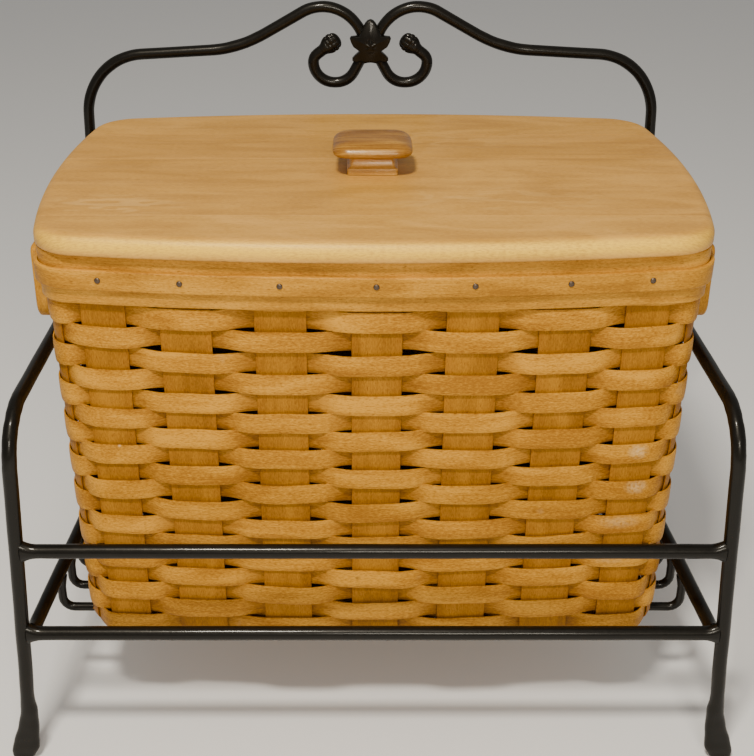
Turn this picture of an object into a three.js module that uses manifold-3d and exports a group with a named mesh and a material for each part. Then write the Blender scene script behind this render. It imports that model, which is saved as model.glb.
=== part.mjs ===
// A newspaper basket: a lidded woven splint basket that stands in a wrought-iron cradle.
// Sizes are in millimetres and +Z is up. The front faces -Y.
// The origin lies on the floor under the middle of the stand.
import * as THREE from 'three';
import { mergeVertices } from 'three/addons/utils/BufferGeometryUtils.js';
import Module from 'manifold-3d';

const wasm = await Module();
wasm.setup();

// Fits between neighbouring pieces
const weldGap = 0.3;
const seatGap = 0.3;
const layerGap = 0.3;
const boreClearance = 0.3;
const handleSideClearance = 0.5;

// Iron bar stock
const legBar = 9.5;
const postBar = 8.8;
const railBar = 9.4;
const cradleBar = 6.2;

// Stand: front legs, each one bar with the arm that runs back from its top
const standDepth = 337;
const legSpreadAtFloor = 460.4;
const legSpreadAtArm = 433;
const armHeight = 259.5;
const armBackHeight = 248;
const armBendRadius = 32;

// Stand: hammered feet. Each edge point is [outwards from the bar's line at the floor, height].
const footNeckHeight = 52;
const footThickness = 6.5;
const footBarOverlap = 16;
const footInnerEdge = [[-7.4, 52], [-8.3, 42], [-7.9, 25], [-6.2, 9], [-2.6, 2.4], [1.6, 0]];
const footOuterEdge = [[8.6, 0], [12.4, 1.8], [12.9, 6.5], [10.3, 16], [6.9, 26], [3.4, 40], [2.1, 52]];

// Stand: back posts that bend into the arch and end in scrolls
const postSpreadAtFloor = 466;
const postSpreadAtShoulder = 439.2;
const shoulderHeight = 395;
const shoulderRise = 6.7;
const shoulderBendRadius = 48;
const archRiseStart = 101;
const archRiseRadius = 97;
const archSlope = 0.56;
const crestRadius = 31.8;
const crestHeight = 432.5;
const barTouchGap = 0.4;
const armPastPost = 2.2;

// Stand: scrolls. The drops are measured down from the crest.
const partingDrop = 34.5;
const partingRadius = 12;
const scrollInnerX = 16.9;
const scrollOuterX = 43.8;
const scrollRadius = 15.6;
const scrollDrop = 57.7;
const curlDrop = 38.2;
const curlRadius = 8;
const scrollEndX = 36.3;
const scrollEndDrop = 32.4;

// Stand: ornaments. The leaf's right edge runs from its tip down in shares of its half width and
// half height. A bud's side is a list of [radius, distance from the scroll's end].
const leafWidth = 31.4;
const leafHeight = 33.4;
const leafThickness = 4;
const leafDrop = 25.4;
const leafEdge = [
  [0, 1], [0.26, 0.84], [0.33, 0.7], [0.41, 0.52], [0.57, 0.24], [0.97, 0.22], [1, 0.15],
  [0.94, -0.04], [0.83, -0.24], [0.64, -0.37], [0.54, -0.43], [0.74, -0.61], [0.88, -0.75],
  [0.9, -0.84], [0.74, -0.96], [0.5, -0.9], [0.31, -1], [0.12, -0.96],
];
const budProfile = [[0, 0], [4.4, 0], [6.4, 4], [7.5, 8], [7, 11.5], [4.8, 14.6], [0, 15.6]];
const budFlatness = 0.68;

// Stand: rails
const upperRailHeight = 167.6;
const ringHeight = 104.4;
const sideRailFrontInset = 5.7;
const sideRailBackOutset = 1.2;

// Stand: the row of U-shaped bars that carries the basket
const cradleCount = 9;
const cradleFirstSetback = 66.9;
const cradlePitch = 25.4;
const cradleDrop = 29.2;
const cradleBendRadius = 8;

// Basket: footprints of the woven wall at its rim and at its floor
const basketSetForward = 7.5;
const rimFootprint = { halfLength: 206.3, halfDepth: 131, endBow: 11, longBow: 16.5, corner: 20 };
const floorFootprint = { halfLength: 195.2, halfDepth: 130, endBow: 3, longBow: 8, corner: 26 };
const basketHeight = 270.3;
const wallThickness = 4;
const floorThickness = 4;

// Basket: rim bands
const outerBandHeight = 31.5;
const outerBandThickness = 2;
const tackedBandHeight = 12.7;
const tackedBandThickness = 2.6;
const tackedBandDrop = 9;
const innerBandHeight = 25;
const innerBandThickness = 2.4;

// Basket: tacks through the rim. The head's side is in shares of its radius and height.
const tackHeadRadius = 2.1;
const tackHeadHeight = 1;
const tackHeadSide = [[1, 0], [0.85, 0.6], [0.45, 0.95], [0, 1]];
const tackShankRadius = 0.7;
const tackAboveBandMiddle = 0.8;
const tackOffsets = [-161.8, -113.2, -54.8, 1, 59, 115.3, 162.8];

// Basket: a hanging grip on each end
const gripLength = 104;
const gripDrop = 46.5;
const gripThickness = 8.5;
const gripLegWidth = 16;
const gripBarHeight = 17;
const gripTopAbovePin = 6;
const gripCornerRadius = 14;
const gripSlotRadius = 8;
const gripPinBelowRim = 28.5;
const gripPinRadius = 2;
const gripBlockHeight = 12;
const gripEndRounding = 5;
const gripTuck = 2.4;

// Lid
const lidEndOverhang = 5.2;
const lidLongOverhang = 7;
const lidEndBow = 16;
const lidLongBow = 17.5;
const lidCorner = 32;
const lidThickness = 12.7;
const lidTopRounding = 5;
const lidBottomRounding = 1.5;
const boardJoints = [-90.5, 22.5, 78.5];
const battenInset = 61.3;
const battenWidth = 22;
const battenThickness = 9;
const battenEndClearance = 4;

// Knob. Its side runs from the foot over the hollowed stem to the domed cap. Each point is its
// inset from the cap's outline, as a share of the stem's inset, and its share of the height.
const knobSetForward = 1.7;
const knobLength = 52.3;
const knobDepth = 46.3;
const knobBow = 1;
const knobCorner = 11;
const knobLeastCorner = 1;
const knobStemInset = 13;
const knobHeight = 22.8;
const knobSide = [
  [0.72, 0], [0.72, 0.185], [0.82, 0.21], [0.95, 0.34], [1, 0.535], [0.185, 0.58],
  [0, 0.685], [0.05, 0.79], [0.31, 0.925], [0.77, 1],
];
const knobScrewRadius = 2;
const knobScrewDepth = 12;
const screwHeadRadius = 4;
const screwHeadHeight = 2.5;
const screwHeadSide = [[0, 1], [0.8, 1], [1, 0.3], [1, 0]];

// Facets
const frameBarSides = 10;
const railBarSides = 10;
const cradleBarSides = 8;
const smallRoundSides = 8;
const tackSides = 6;
const bendStep = Math.PI / 14;
const cradleBendStep = Math.PI / 8;
const wallSteps = 2;
const footEdgeSteps = 9;
const gripCurveSteps = 4;
const basketFacets = { long: 5, corner: 4, end: 3 };
const lidFacets = { long: 5, corner: 6, end: 3 };
const knobFacets = { long: 1, corner: 4, end: 1 };
const boreOverrun = 2;
const quarterRound = 1 - Math.SQRT1_2;
const mergeDistance = 1e-4;
const placeTolerance = 1e-9;

// Places worked out from the sizes above
const legPlane = -standDepth / 2;
const postPlane = standDepth / 2;
const partingHeight = crestHeight - partingDrop;
const scrollBottom = crestHeight - scrollDrop;
const curlHeight = crestHeight - curlDrop;
const scrollEndHeight = crestHeight - scrollEndDrop;
const leafCentreHeight = crestHeight - leafDrop;
const cradleHeight = ringHeight - cradleDrop;
const basketBottom = cradleHeight + cradleBar / 2 + seatGap;
const rimTop = basketBottom + basketHeight;
const lidBottom = rimTop + seatGap;
const lidTop = lidBottom + lidThickness;
const tackedBandTop = rimTop - tackedBandDrop;
const tackHeight = tackedBandTop - tackedBandHeight / 2 + tackAboveBandMiddle;
const outerBandInset = -layerGap - outerBandThickness;
const tackedBandInset = outerBandInset - layerGap - tackedBandThickness;
const basketMiddle = -basketSetForward;
const lidHalfLength = rimFootprint.halfLength + lidEndOverhang;
const lidHalfDepth = rimFootprint.halfDepth + lidLongOverhang;
const battenX = rimFootprint.halfLength - battenInset;

// Finishes
const blackIron = new THREE.MeshStandardMaterial({ color: 0x26231f, roughness: 0.48, metalness: 0.7 });
const wovenMaple = new THREE.MeshStandardMaterial({ color: 0xc68f47, roughness: 0.55, metalness: 0 });
const bandMaple = new THREE.MeshStandardMaterial({ color: 0xb57d35, roughness: 0.5, metalness: 0 });
const lidMaple = new THREE.MeshStandardMaterial({ color: 0xc8a06a, roughness: 0.45, metalness: 0 });
const knobMaple = new THREE.MeshStandardMaterial({ color: 0xb4752c, roughness: 0.3, metalness: 0 });
const dullSteel = new THREE.MeshStandardMaterial({ color: 0x6b6158, roughness: 0.5, metalness: 0.85 });

const part = new THREE.Group();

function addPiece(parent, name, geometry, material) {
  const mesh = new THREE.Mesh(geometry, material);
  mesh.name = name;
  parent.add(mesh);
  return mesh;
}

function lerp(low, high, share) {
  return low + (high - low) * share;
}

// Closed meshes to solids and back
function solidOf(geometry) {
  const bare = geometry.clone();
  bare.deleteAttribute('normal');
  bare.deleteAttribute('uv');
  const merged = mergeVertices(bare, mergeDistance);
  const mesh = new wasm.Mesh({
    numProp: 3,
    vertProperties: new Float32Array(merged.attributes.position.array),
    triVerts: new Uint32Array(merged.index.array),
  });
  return new wasm.Manifold(mesh);
}

function geometryOf(solid) {
  const mesh = solid.getMesh();
  const geometry = new THREE.BufferGeometry();
  geometry.setAttribute('position', new THREE.BufferAttribute(new Float32Array(mesh.vertProperties), 3));
  geometry.setIndex(new THREE.BufferAttribute(new Uint32Array(mesh.triVerts), 1));
  geometry.computeVertexNormals();
  return geometry;
}

// Mirror image across the middle plane, with its faces still pointing out
function mirrored(geometry) {
  const flipped = geometry.index ? geometry.clone() : mergeVertices(geometry);
  flipped.scale(-1, 1, 1);
  const index = flipped.index.array;
  for (let corner = 0; corner < index.length; corner += 3) {
    [index[corner + 1], index[corner + 2]] = [index[corner + 2], index[corner + 1]];
  }
  flipped.computeVertexNormals();
  return flipped;
}

// A round bend between two straight runs, given its middle and its two ends
class Bend extends THREE.Curve {
  constructor(centre, start, end) {
    super();
    this.centre = centre;
    this.from = start.clone().sub(centre);
    this.to = end.clone().sub(centre);
    this.angle = this.from.angleTo(this.to);
  }

  getPoint(share, target = new THREE.Vector3()) {
    const fade = Math.sin((1 - share) * this.angle) / Math.sin(this.angle);
    const grow = Math.sin(share * this.angle) / Math.sin(this.angle);
    return target.copy(this.centre).addScaledVector(this.from, fade).addScaledVector(this.to, grow);
  }
}

// The centre line of a bent bar, which spends its steps on the bends
class BarRoute extends THREE.Curve {
  constructor(corners, stepAngle) {
    super();
    this.runs = [];
    this.steps = 0;
    let from = corners[0].at;
    for (let place = 1; place < corners.length - 1; place += 1) {
      from = this.addBend(from, corners[place], corners[place + 1].at, stepAngle);
    }
    this.addRun(new THREE.LineCurve3(from, corners[corners.length - 1].at), 1);
  }

  addRun(curve, steps) {
    this.runs.push({ curve, steps, start: this.steps });
    this.steps += steps;
  }

  addBend(from, corner, next, stepAngle) {
    const back = from.clone().sub(corner.at).normalize();
    const ahead = next.clone().sub(corner.at).normalize();
    const halfTurn = (Math.PI - back.angleTo(ahead)) / 2;
    const reach = corner.radius * Math.tan(halfTurn);
    const start = corner.at.clone().addScaledVector(back, reach);
    const end = corner.at.clone().addScaledVector(ahead, reach);
    const middle = back.add(ahead).normalize();
    const centre = corner.at.clone().addScaledVector(middle, corner.radius / Math.cos(halfTurn));
    this.addRun(new THREE.LineCurve3(from, start), 1);
    this.addRun(new Bend(centre, start, end), Math.max(2, Math.ceil((2 * halfTurn) / stepAngle)));
    return end;
  }

  getPoint(share, target = new THREE.Vector3()) {
    const place = share * this.steps;
    const run = this.runs.findLast((candidate) => candidate.start <= place + placeTolerance);
    return run.curve.getPoint(Math.min(1, (place - run.start) / run.steps), target);
  }

  getUtoTmapping(share) {
    return share;
  }
}

function barSection(radius, sides) {
  const points = [];
  for (let side = 0; side < sides; side += 1) {
    const angle = ((side + 0.5) * 2 * Math.PI) / sides;
    points.push(new THREE.Vector2(radius * Math.cos(angle), radius * Math.sin(angle)));
  }
  return new THREE.Shape(points);
}

function barAlong(corners, diameter, sides, stepAngle) {
  const route = new BarRoute(corners, stepAngle);
  const section = barSection(diameter / 2, sides);
  return new THREE.ExtrudeGeometry(section, {
    steps: route.steps,
    extrudePath: route,
    bevelEnabled: false,
  });
}

function straightBar(start, end, diameter, sides) {
  return barAlong([{ at: start }, { at: end }], diameter, sides, bendStep);
}

function corner(x, y, z, radius) {
  return { at: new THREE.Vector3(x, y, z), radius };
}

// Half the spread of the legs and of the posts at a height
function legX(height) {
  return lerp(legSpreadAtFloor, legSpreadAtArm, height / armHeight) / 2;
}

function postX(height) {
  return lerp(postSpreadAtFloor, postSpreadAtShoulder, height / shoulderHeight) / 2;
}

// A foot hammered flat from the bar: it widens downwards and flares out from the stand
function footGeometry(barX, plane) {
  const smooth = (edge) => {
    const points = edge.map(([outwards, height]) => new THREE.Vector2(barX(0) + outwards, height));
    return new THREE.SplineCurve(points).getPoints(footEdgeSteps);
  };
  const outline = new THREE.Shape([...smooth(footInnerEdge), ...smooth(footOuterEdge)]);
  const geometry = new THREE.ExtrudeGeometry(outline, {
    depth: footThickness,
    steps: 1,
    bevelEnabled: false,
  });
  geometry.rotateX(Math.PI / 2);
  geometry.translate(0, plane + footThickness / 2, 0);
  return geometry;
}

function withFoot(upright, barX, plane) {
  return geometryOf(solidOf(upright).add(solidOf(footGeometry(barX, plane))));
}

// Front leg: from the foot up, round the bend and back along the arm to the post
function frontLegGeometry() {
  const start = footNeckHeight - footBarOverlap;
  const armEndX = postX(armBackHeight) - (legBar + postBar) / 2 - weldGap;
  const upright = barAlong([
    corner(legX(start), legPlane, start),
    corner(legX(armHeight), legPlane, armHeight, armBendRadius),
    corner(armEndX, postPlane + armPastPost, armBackHeight),
  ], legBar, frameBarSides, bendStep);
  return withFoot(upright, legX, legPlane);
}

// Where the slope up to the crest would meet the upright line that the bars come down to
function crestCornerHeight() {
  const crestCentre = crestHeight - crestRadius;
  return crestCentre + crestRadius * Math.hypot(1, archSlope) + crestRadius * archSlope;
}

// Back post: up from the foot, over the shoulder, up to the crest, down and round into the scroll
function backPostGeometry() {
  const start = footNeckHeight - footBarOverlap;
  const touchX = (postBar + barTouchGap) / 2;
  const crestCorner = crestCornerHeight();
  const riseStart = crestCorner - archSlope * (archRiseStart - touchX);
  const upright = barAlong([
    corner(postX(start), postPlane, start),
    corner(postX(shoulderHeight), postPlane, riseStart - shoulderRise, shoulderBendRadius),
    corner(archRiseStart, postPlane, riseStart, archRiseRadius),
    corner(touchX, postPlane, crestCorner, crestRadius),
    corner(touchX, postPlane, partingHeight, partingRadius),
    corner(scrollInnerX, postPlane, scrollBottom, scrollRadius),
    corner(scrollOuterX, postPlane, scrollBottom, scrollRadius),
    corner(scrollOuterX, postPlane, curlHeight, curlRadius),
    corner(scrollEndX, postPlane, scrollEndHeight),
  ], postBar, frameBarSides, bendStep);
  return withFoot(upright, postX, postPlane);
}

// A faceted bud swells from the end of each scroll and points the way that the bar does
function budGeometry() {
  const profile = budProfile.map(([radius, along]) => new THREE.Vector2(radius, along));
  const geometry = new THREE.LatheGeometry(profile, smallRoundSides);
  geometry.scale(1, 1, budFlatness);
  geometry.rotateX(Math.PI / 2);
  const reach = new THREE.Vector2(scrollEndX - scrollOuterX, scrollEndHeight - curlHeight).normalize();
  geometry.rotateY(Math.atan2(reach.x, reach.y));
  reach.multiplyScalar(weldGap);
  geometry.translate(scrollEndX + reach.x, postPlane, scrollEndHeight + reach.y);
  return geometry;
}

// A cast leaf with five lobes that covers the place where the two bars touch
function leafGeometry() {
  const right = leafEdge.map(([x, z]) => new THREE.Vector2((x * leafWidth) / 2, (z * leafHeight) / 2));
  const left = right.slice(1).reverse().map((point) => new THREE.Vector2(-point.x, point.y));
  const geometry = new THREE.ExtrudeGeometry(new THREE.Shape([...right, ...left]), {
    depth: leafThickness,
    steps: 1,
    bevelEnabled: false,
  });
  geometry.rotateX(Math.PI / 2);
  geometry.translate(0, postPlane - postBar / 2 - weldGap, leafCentreHeight);
  return geometry;
}

function addOrnaments(stand) {
  const bud = budGeometry();
  addPiece(stand, 'leaf_ornament', leafGeometry(), blackIron);
  addPiece(stand, 'scroll_bud_right', bud, blackIron);
  addPiece(stand, 'scroll_bud_left', mirrored(bud), blackIron);
}

// Straight rails between the legs and the posts
function acrossRail(halfSpan, upright, plane, height) {
  const end = halfSpan - upright / 2 - weldGap;
  return straightBar(
    new THREE.Vector3(-end, plane, height),
    new THREE.Vector3(end, plane, height),
    railBar,
    railBarSides,
  );
}

function sideRailX(y) {
  const front = legX(ringHeight) - sideRailFrontInset;
  const back = floorFootprint.halfLength + sideRailBackOutset;
  return lerp(front, back, (y - legPlane) / standDepth);
}

function sideRailGeometry() {
  const front = legPlane + legBar / 2 + weldGap;
  const back = postPlane - railBar / 2 - weldGap;
  return straightBar(
    new THREE.Vector3(sideRailX(front), front, ringHeight),
    new THREE.Vector3(sideRailX(back), back, ringHeight),
    railBar,
    railBarSides,
  );
}

function addRails(stand) {
  const upperFront = acrossRail(legX(upperRailHeight), legBar, legPlane, upperRailHeight);
  const lowerFront = acrossRail(legX(ringHeight), legBar, legPlane, ringHeight);
  const lowerBack = acrossRail(postX(ringHeight), postBar, postPlane, ringHeight);
  addPiece(stand, 'upper_front_rail', upperFront, blackIron);
  addPiece(stand, 'lower_front_rail', lowerFront, blackIron);
  addPiece(stand, 'lower_back_rail', lowerBack, blackIron);
  addPiece(stand, 'side_rail_right', sideRailGeometry(), blackIron);
  addPiece(stand, 'side_rail_left', mirrored(sideRailGeometry()), blackIron);
}

// A cradle bar hangs from the undersides of both side rails in a wide flat U
function cradleBarGeometry(y) {
  const halfSpan = sideRailX(y);
  const top = ringHeight - railBar / 2 - weldGap;
  return barAlong([
    corner(-halfSpan, y, top),
    corner(-halfSpan, y, cradleHeight, cradleBendRadius),
    corner(halfSpan, y, cradleHeight, cradleBendRadius),
    corner(halfSpan, y, top),
  ], cradleBar, cradleBarSides, cradleBendStep);
}

function addCradle(stand) {
  for (let count = 0; count < cradleCount; count += 1) {
    const y = legPlane + cradleFirstSetback + count * cradlePitch;
    addPiece(stand, `cradle_bar_${count + 1}`, cradleBarGeometry(y), blackIron);
  }
}

function buildStand() {
  const stand = new THREE.Group();
  const leg = frontLegGeometry();
  addPiece(stand, 'front_leg_right', leg, blackIron);
  addPiece(stand, 'front_leg_left', mirrored(leg), blackIron);
  const post = backPostGeometry();
  addPiece(stand, 'back_post_right', post, blackIron);
  addPiece(stand, 'back_post_left', mirrored(post), blackIron);
  addOrnaments(stand);
  addRails(stand);
  addCradle(stand);
  return stand;
}

// One quarter of a rounded rectangle with bowed sides, from the front middle to the right middle.
// The long face and the end are arcs, and a corner arc touches both. An inset moves all three in.
function quarterOutline(footprint, inset, facets) {
  const { halfLength, halfDepth, endBow, longBow, corner: radius } = footprint;
  const longRadius = (halfLength ** 2 + longBow ** 2) / (2 * longBow);
  const endRadius = (halfDepth ** 2 + endBow ** 2) / (2 * endBow);
  const longCentre = new THREE.Vector2(0, longRadius - halfDepth);
  const endCentre = new THREE.Vector2(halfLength - endRadius, 0);
  const towards = endCentre.clone().sub(longCentre);
  const distance = towards.length();
  const longReach = longRadius - radius;
  const endReach = endRadius - radius;
  const along = (longReach ** 2 - endReach ** 2 + distance ** 2) / (2 * distance);
  const across = Math.sqrt(longReach ** 2 - along ** 2);
  towards.normalize();
  const sideways = new THREE.Vector2(-towards.y, towards.x);
  const cornerCentre = longCentre.clone().addScaledVector(towards, along).addScaledVector(sideways, across);
  const longEnd = cornerCentre.clone().sub(longCentre).angle();
  const endStart = cornerCentre.clone().sub(endCentre).angle() - 2 * Math.PI;
  const frontAngle = 1.5 * Math.PI;
  const points = [];
  const addArc = (centre, arcRadius, from, to, steps) => {
    for (let step = 0; step < steps; step += 1) {
      const angle = lerp(from, to, step / steps);
      const reach = arcRadius - inset;
      points.push(new THREE.Vector2(centre.x + reach * Math.cos(angle), centre.y + reach * Math.sin(angle)));
    }
  };
  addArc(longCentre, longRadius, frontAngle, longEnd, facets.long);
  addArc(cornerCentre, radius, longEnd, endStart + 2 * Math.PI, facets.corner);
  addArc(endCentre, endRadius, endStart, 0, facets.end);
  return points;
}

// The whole outline, anticlockwise from above, starting at the front middle
function fullOutline(footprint, inset, facets) {
  const quarter = quarterOutline(footprint, inset, facets);
  const rightMiddle = new THREE.Vector2(footprint.halfLength - inset, 0);
  const right = [...quarter, rightMiddle];
  const backRight = quarter.slice().reverse().map((point) => new THREE.Vector2(point.x, -point.y));
  const half = [...right, ...backRight];
  const left = half.slice(1, -1).reverse().map((point) => new THREE.Vector2(-point.x, point.y));
  return [...half, ...left];
}

// The basket's outline at a height, between its floor and rim footprints
function basketOutline(height, inset) {
  const share = (height - basketBottom) / basketHeight;
  const low = fullOutline(floorFootprint, inset, basketFacets);
  const high = fullOutline(rimFootprint, inset, basketFacets);
  return low.map((point, place) => point.clone().lerp(high[place], share));
}

function ringsToGeometry(rings, closed) {
  const count = rings[0].length;
  const positions = rings.flat().flatMap((point) => [point.x, point.y, point.z]);
  const index = [];
  const spans = closed ? rings.length : rings.length - 1;
  for (let ring = 0; ring < spans; ring += 1) {
    const next = (ring + 1) % rings.length;
    for (let place = 0; place < count; place += 1) {
      const a = ring * count + place;
      const b = ring * count + ((place + 1) % count);
      const c = next * count + ((place + 1) % count);
      const d = next * count + place;
      index.push(a, b, c, a, c, d);
    }
  }
  if (!closed) {
    const bottom = positions.length / 3;
    const top = bottom + 1;
    const last = (rings.length - 1) * count;
    positions.push(0, 0, rings[0][0].z, 0, 0, rings[rings.length - 1][0].z);
    for (let place = 0; place < count; place += 1) {
      const following = (place + 1) % count;
      index.push(bottom, following, place);
      index.push(top, last + place, last + following);
    }
  }
  const geometry = new THREE.BufferGeometry();
  geometry.setAttribute('position', new THREE.Float32BufferAttribute(positions, 3));
  geometry.setIndex(index);
  geometry.computeVertexNormals();
  return geometry;
}

// A hoop with the basket's outline: its section is a list of [inset, height] corners
function hoopGeometry(section) {
  const rings = section.map(([inset, height]) => {
    const outline = basketOutline(height, inset);
    return outline.map((point) => new THREE.Vector3(point.x, point.y + basketMiddle, height));
  });
  return ringsToGeometry(rings, true);
}

function hoopSection(outerInset, thickness, bottom, height) {
  return [
    [outerInset, bottom],
    [outerInset, bottom + height],
    [outerInset + thickness, bottom + height],
    [outerInset + thickness, bottom],
  ];
}

function wallGeometry() {
  const section = [];
  for (let step = 0; step <= wallSteps; step += 1) {
    section.push([0, basketBottom + (basketHeight * step) / wallSteps]);
  }
  for (let step = wallSteps; step >= 0; step -= 1) {
    section.push([wallThickness, basketBottom + (basketHeight * step) / wallSteps]);
  }
  return hoopGeometry(section);
}

function floorGeometry() {
  const inset = wallThickness + layerGap;
  const rings = [basketBottom, basketBottom + floorThickness].map((height) => {
    const outline = basketOutline(height, inset);
    return outline.map((point) => new THREE.Vector3(point.x, point.y, height));
  });
  const geometry = ringsToGeometry(rings, false);
  geometry.translate(0, basketMiddle, 0);
  return geometry;
}

// The furthest reach of the basket's end at a height
function endFaceX(height, inset) {
  return Math.max(...basketOutline(height, inset).map((point) => point.x));
}

// Where a straight line back from a point on the front meets the basket's front face
function frontFaceAt(x, height, inset) {
  const outline = basketOutline(height, inset);
  const near = outline.map((point, place) => [point, outline[(place + 1) % outline.length]]);
  const [from, to] = near.find(([a, b]) => a.y < 0 && b.y < 0 && a.x <= x && b.x > x);
  const share = (x - from.x) / (to.x - from.x);
  return { y: lerp(from.y, to.y, share), turn: Math.atan2(to.y - from.y, to.x - from.x) };
}

// A tack points its head along -Y, and its shank reaches back through both bands
function tackGeometry() {
  const shank = outerBandThickness + layerGap + tackedBandThickness;
  const profile = [
    [0, -shank],
    [tackShankRadius, -shank],
    [tackShankRadius, 0],
    ...tackHeadSide.map(([radius, height]) => [radius * tackHeadRadius, height * tackHeadHeight]),
  ].map(([radius, height]) => new THREE.Vector2(radius, height));
  const geometry = new THREE.LatheGeometry(profile, tackSides);
  geometry.rotateX(Math.PI);
  return geometry;
}

function tackPlaces() {
  return ['front', 'back'].flatMap((face) => tackOffsets.map((x, place) => {
    const { y, turn } = frontFaceAt(x, tackHeight, tackedBandInset);
    const forward = face === 'front';
    return {
      name: `rim_tack_${face}_${place + 1}`,
      position: new THREE.Vector3(x, (forward ? y : -y) + basketMiddle, tackHeight),
      turn: forward ? turn : Math.PI - turn,
    };
  }));
}

// Bores through the rim bands, one under each tack
function tackBores() {
  const deep = outerBandThickness + tackedBandThickness + boreOverrun;
  const places = tackPlaces();
  const bores = places.map(({ position, turn }) => {
    const bore = new THREE.CylinderGeometry(
      tackShankRadius + boreClearance,
      tackShankRadius + boreClearance,
      2 * deep,
      tackSides,
    );
    bore.rotateZ(turn);
    bore.translate(position.x, position.y, position.z);
    return solidOf(bore);
  });
  return bores.reduce((joined, bore) => joined.add(bore));
}

function addRim(basket) {
  const bores = tackBores();
  const outer = hoopSection(outerBandInset, outerBandThickness, rimTop - outerBandHeight, outerBandHeight);
  const tackedBottom = tackedBandTop - tackedBandHeight;
  const tacked = hoopSection(tackedBandInset, tackedBandThickness, tackedBottom, tackedBandHeight);
  const innerInset = wallThickness + layerGap;
  const inner = hoopSection(innerInset, innerBandThickness, rimTop - innerBandHeight, innerBandHeight);
  addPiece(basket, 'rim_outer_band', geometryOf(solidOf(hoopGeometry(outer)).subtract(bores)), bandMaple);
  addPiece(basket, 'rim_tacked_band', geometryOf(solidOf(hoopGeometry(tacked)).subtract(bores)), bandMaple);
  addPiece(basket, 'rim_inner_band', hoopGeometry(inner), bandMaple);
  for (const { name, position, turn } of tackPlaces()) {
    const tack = addPiece(basket, name, tackGeometry(), dullSteel);
    const outwards = new THREE.Vector3(Math.sin(turn), -Math.cos(turn), 0);
    tack.position.copy(position).addScaledVector(outwards, seatGap);
    tack.rotation.z = turn;
  }
}

// Places of the grips: the pin runs front to back beside the middle of each end
const gripPinHeight = rimTop - gripPinBelowRim;
const gripReach = Math.hypot(gripTopAbovePin, gripThickness / 2);
const gripPinX = endFaceX(gripPinHeight, tackedBandInset) + gripReach - gripTuck;

function pinCylinder(radius, length) {
  return new THREE.CylinderGeometry(radius, radius, length, smallRoundSides);
}

// The grip hangs from its pin as a U: two legs and a bar to hold, round at its outer corners
function gripGeometry() {
  const half = gripLength / 2;
  const slot = half - gripLegWidth;
  const low = -gripDrop + gripCornerRadius;
  const slotLow = -gripDrop + gripBarHeight + gripSlotRadius;
  const high = gripTopAbovePin - gripEndRounding;
  const quarter = Math.PI / 2;
  const outline = new THREE.Shape();
  outline.moveTo(-half, high);
  outline.lineTo(-half, low);
  outline.absarc(-half + gripCornerRadius, low, gripCornerRadius, 2 * quarter, 3 * quarter, false);
  outline.absarc(half - gripCornerRadius, low, gripCornerRadius, 3 * quarter, 4 * quarter, false);
  outline.lineTo(half, high);
  outline.absarc(half - gripEndRounding, high, gripEndRounding, 0, quarter, false);
  outline.lineTo(slot, gripTopAbovePin);
  outline.lineTo(slot, slotLow);
  outline.absarc(slot - gripSlotRadius, slotLow, gripSlotRadius, 0, -quarter, true);
  outline.absarc(-slot + gripSlotRadius, slotLow, gripSlotRadius, -quarter, -2 * quarter, true);
  outline.lineTo(-slot, gripTopAbovePin);
  outline.absarc(-half + gripEndRounding, high, gripEndRounding, quarter, 2 * quarter, false);
  outline.closePath();
  const slab = new THREE.ExtrudeGeometry(outline, {
    depth: gripThickness,
    steps: 1,
    curveSegments: gripCurveSteps,
    bevelEnabled: false,
  });
  slab.rotateX(Math.PI / 2);
  slab.rotateZ(Math.PI / 2);
  slab.translate(-gripThickness / 2, 0, 0);
  const bore = pinCylinder(gripPinRadius + boreClearance, gripLength + boreOverrun);
  return geometryOf(solidOf(slab).subtract(solidOf(bore)));
}

// The block that carries the pin is fixed to the rim between the legs of the grip
function gripBlockGeometry() {
  const length = gripLength - 2 * gripLegWidth - 2 * handleSideClearance;
  const inner = endFaceX(gripPinHeight, outerBandInset) + seatGap - gripPinX;
  const outer = gripThickness / 2;
  const block = new THREE.BoxGeometry(outer - inner, length, gripBlockHeight);
  block.translate((outer + inner) / 2, 0, 0);
  const bore = pinCylinder(gripPinRadius + boreClearance, length + boreOverrun);
  return geometryOf(solidOf(block).subtract(solidOf(bore)));
}

function addGrips(basket) {
  for (const [side, sign] of [['left', -1], ['right', 1]]) {
    const place = new THREE.Group();
    place.position.set(sign * gripPinX, basketMiddle, gripPinHeight);
    const faceOut = (geometry) => (sign > 0 ? geometry : mirrored(geometry));
    addPiece(place, `grip_${side}`, faceOut(gripGeometry()), bandMaple);
    addPiece(place, `grip_block_${side}`, faceOut(gripBlockGeometry()), bandMaple);
    addPiece(place, `grip_pin_${side}`, pinCylinder(gripPinRadius, gripLength), dullSteel);
    basket.add(place);
  }
}

function buildBasket() {
  const basket = new THREE.Group();
  addPiece(basket, 'woven_wall', wallGeometry(), wovenMaple);
  addPiece(basket, 'woven_floor', floorGeometry(), wovenMaple);
  addRim(basket);
  addGrips(basket);
  return basket;
}

// The lid as one slab, with its edge rounded over at the top
function lidSlab() {
  const footprint = {
    halfLength: lidHalfLength,
    halfDepth: lidHalfDepth,
    endBow: lidEndBow,
    longBow: lidLongBow,
    corner: lidCorner,
  };
  const section = [
    [lidBottomRounding, 0],
    [0, lidBottomRounding],
    [0, lidThickness - lidTopRounding],
    [lidTopRounding * quarterRound, lidThickness - lidTopRounding * quarterRound],
    [lidTopRounding, lidThickness],
  ];
  const rings = section.map(([inset, height]) => {
    const outline = fullOutline(footprint, inset, lidFacets);
    return outline.map((point) => new THREE.Vector3(point.x, point.y, lidBottom + height));
  });
  return solidOf(ringsToGeometry(rings, false));
}

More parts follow.
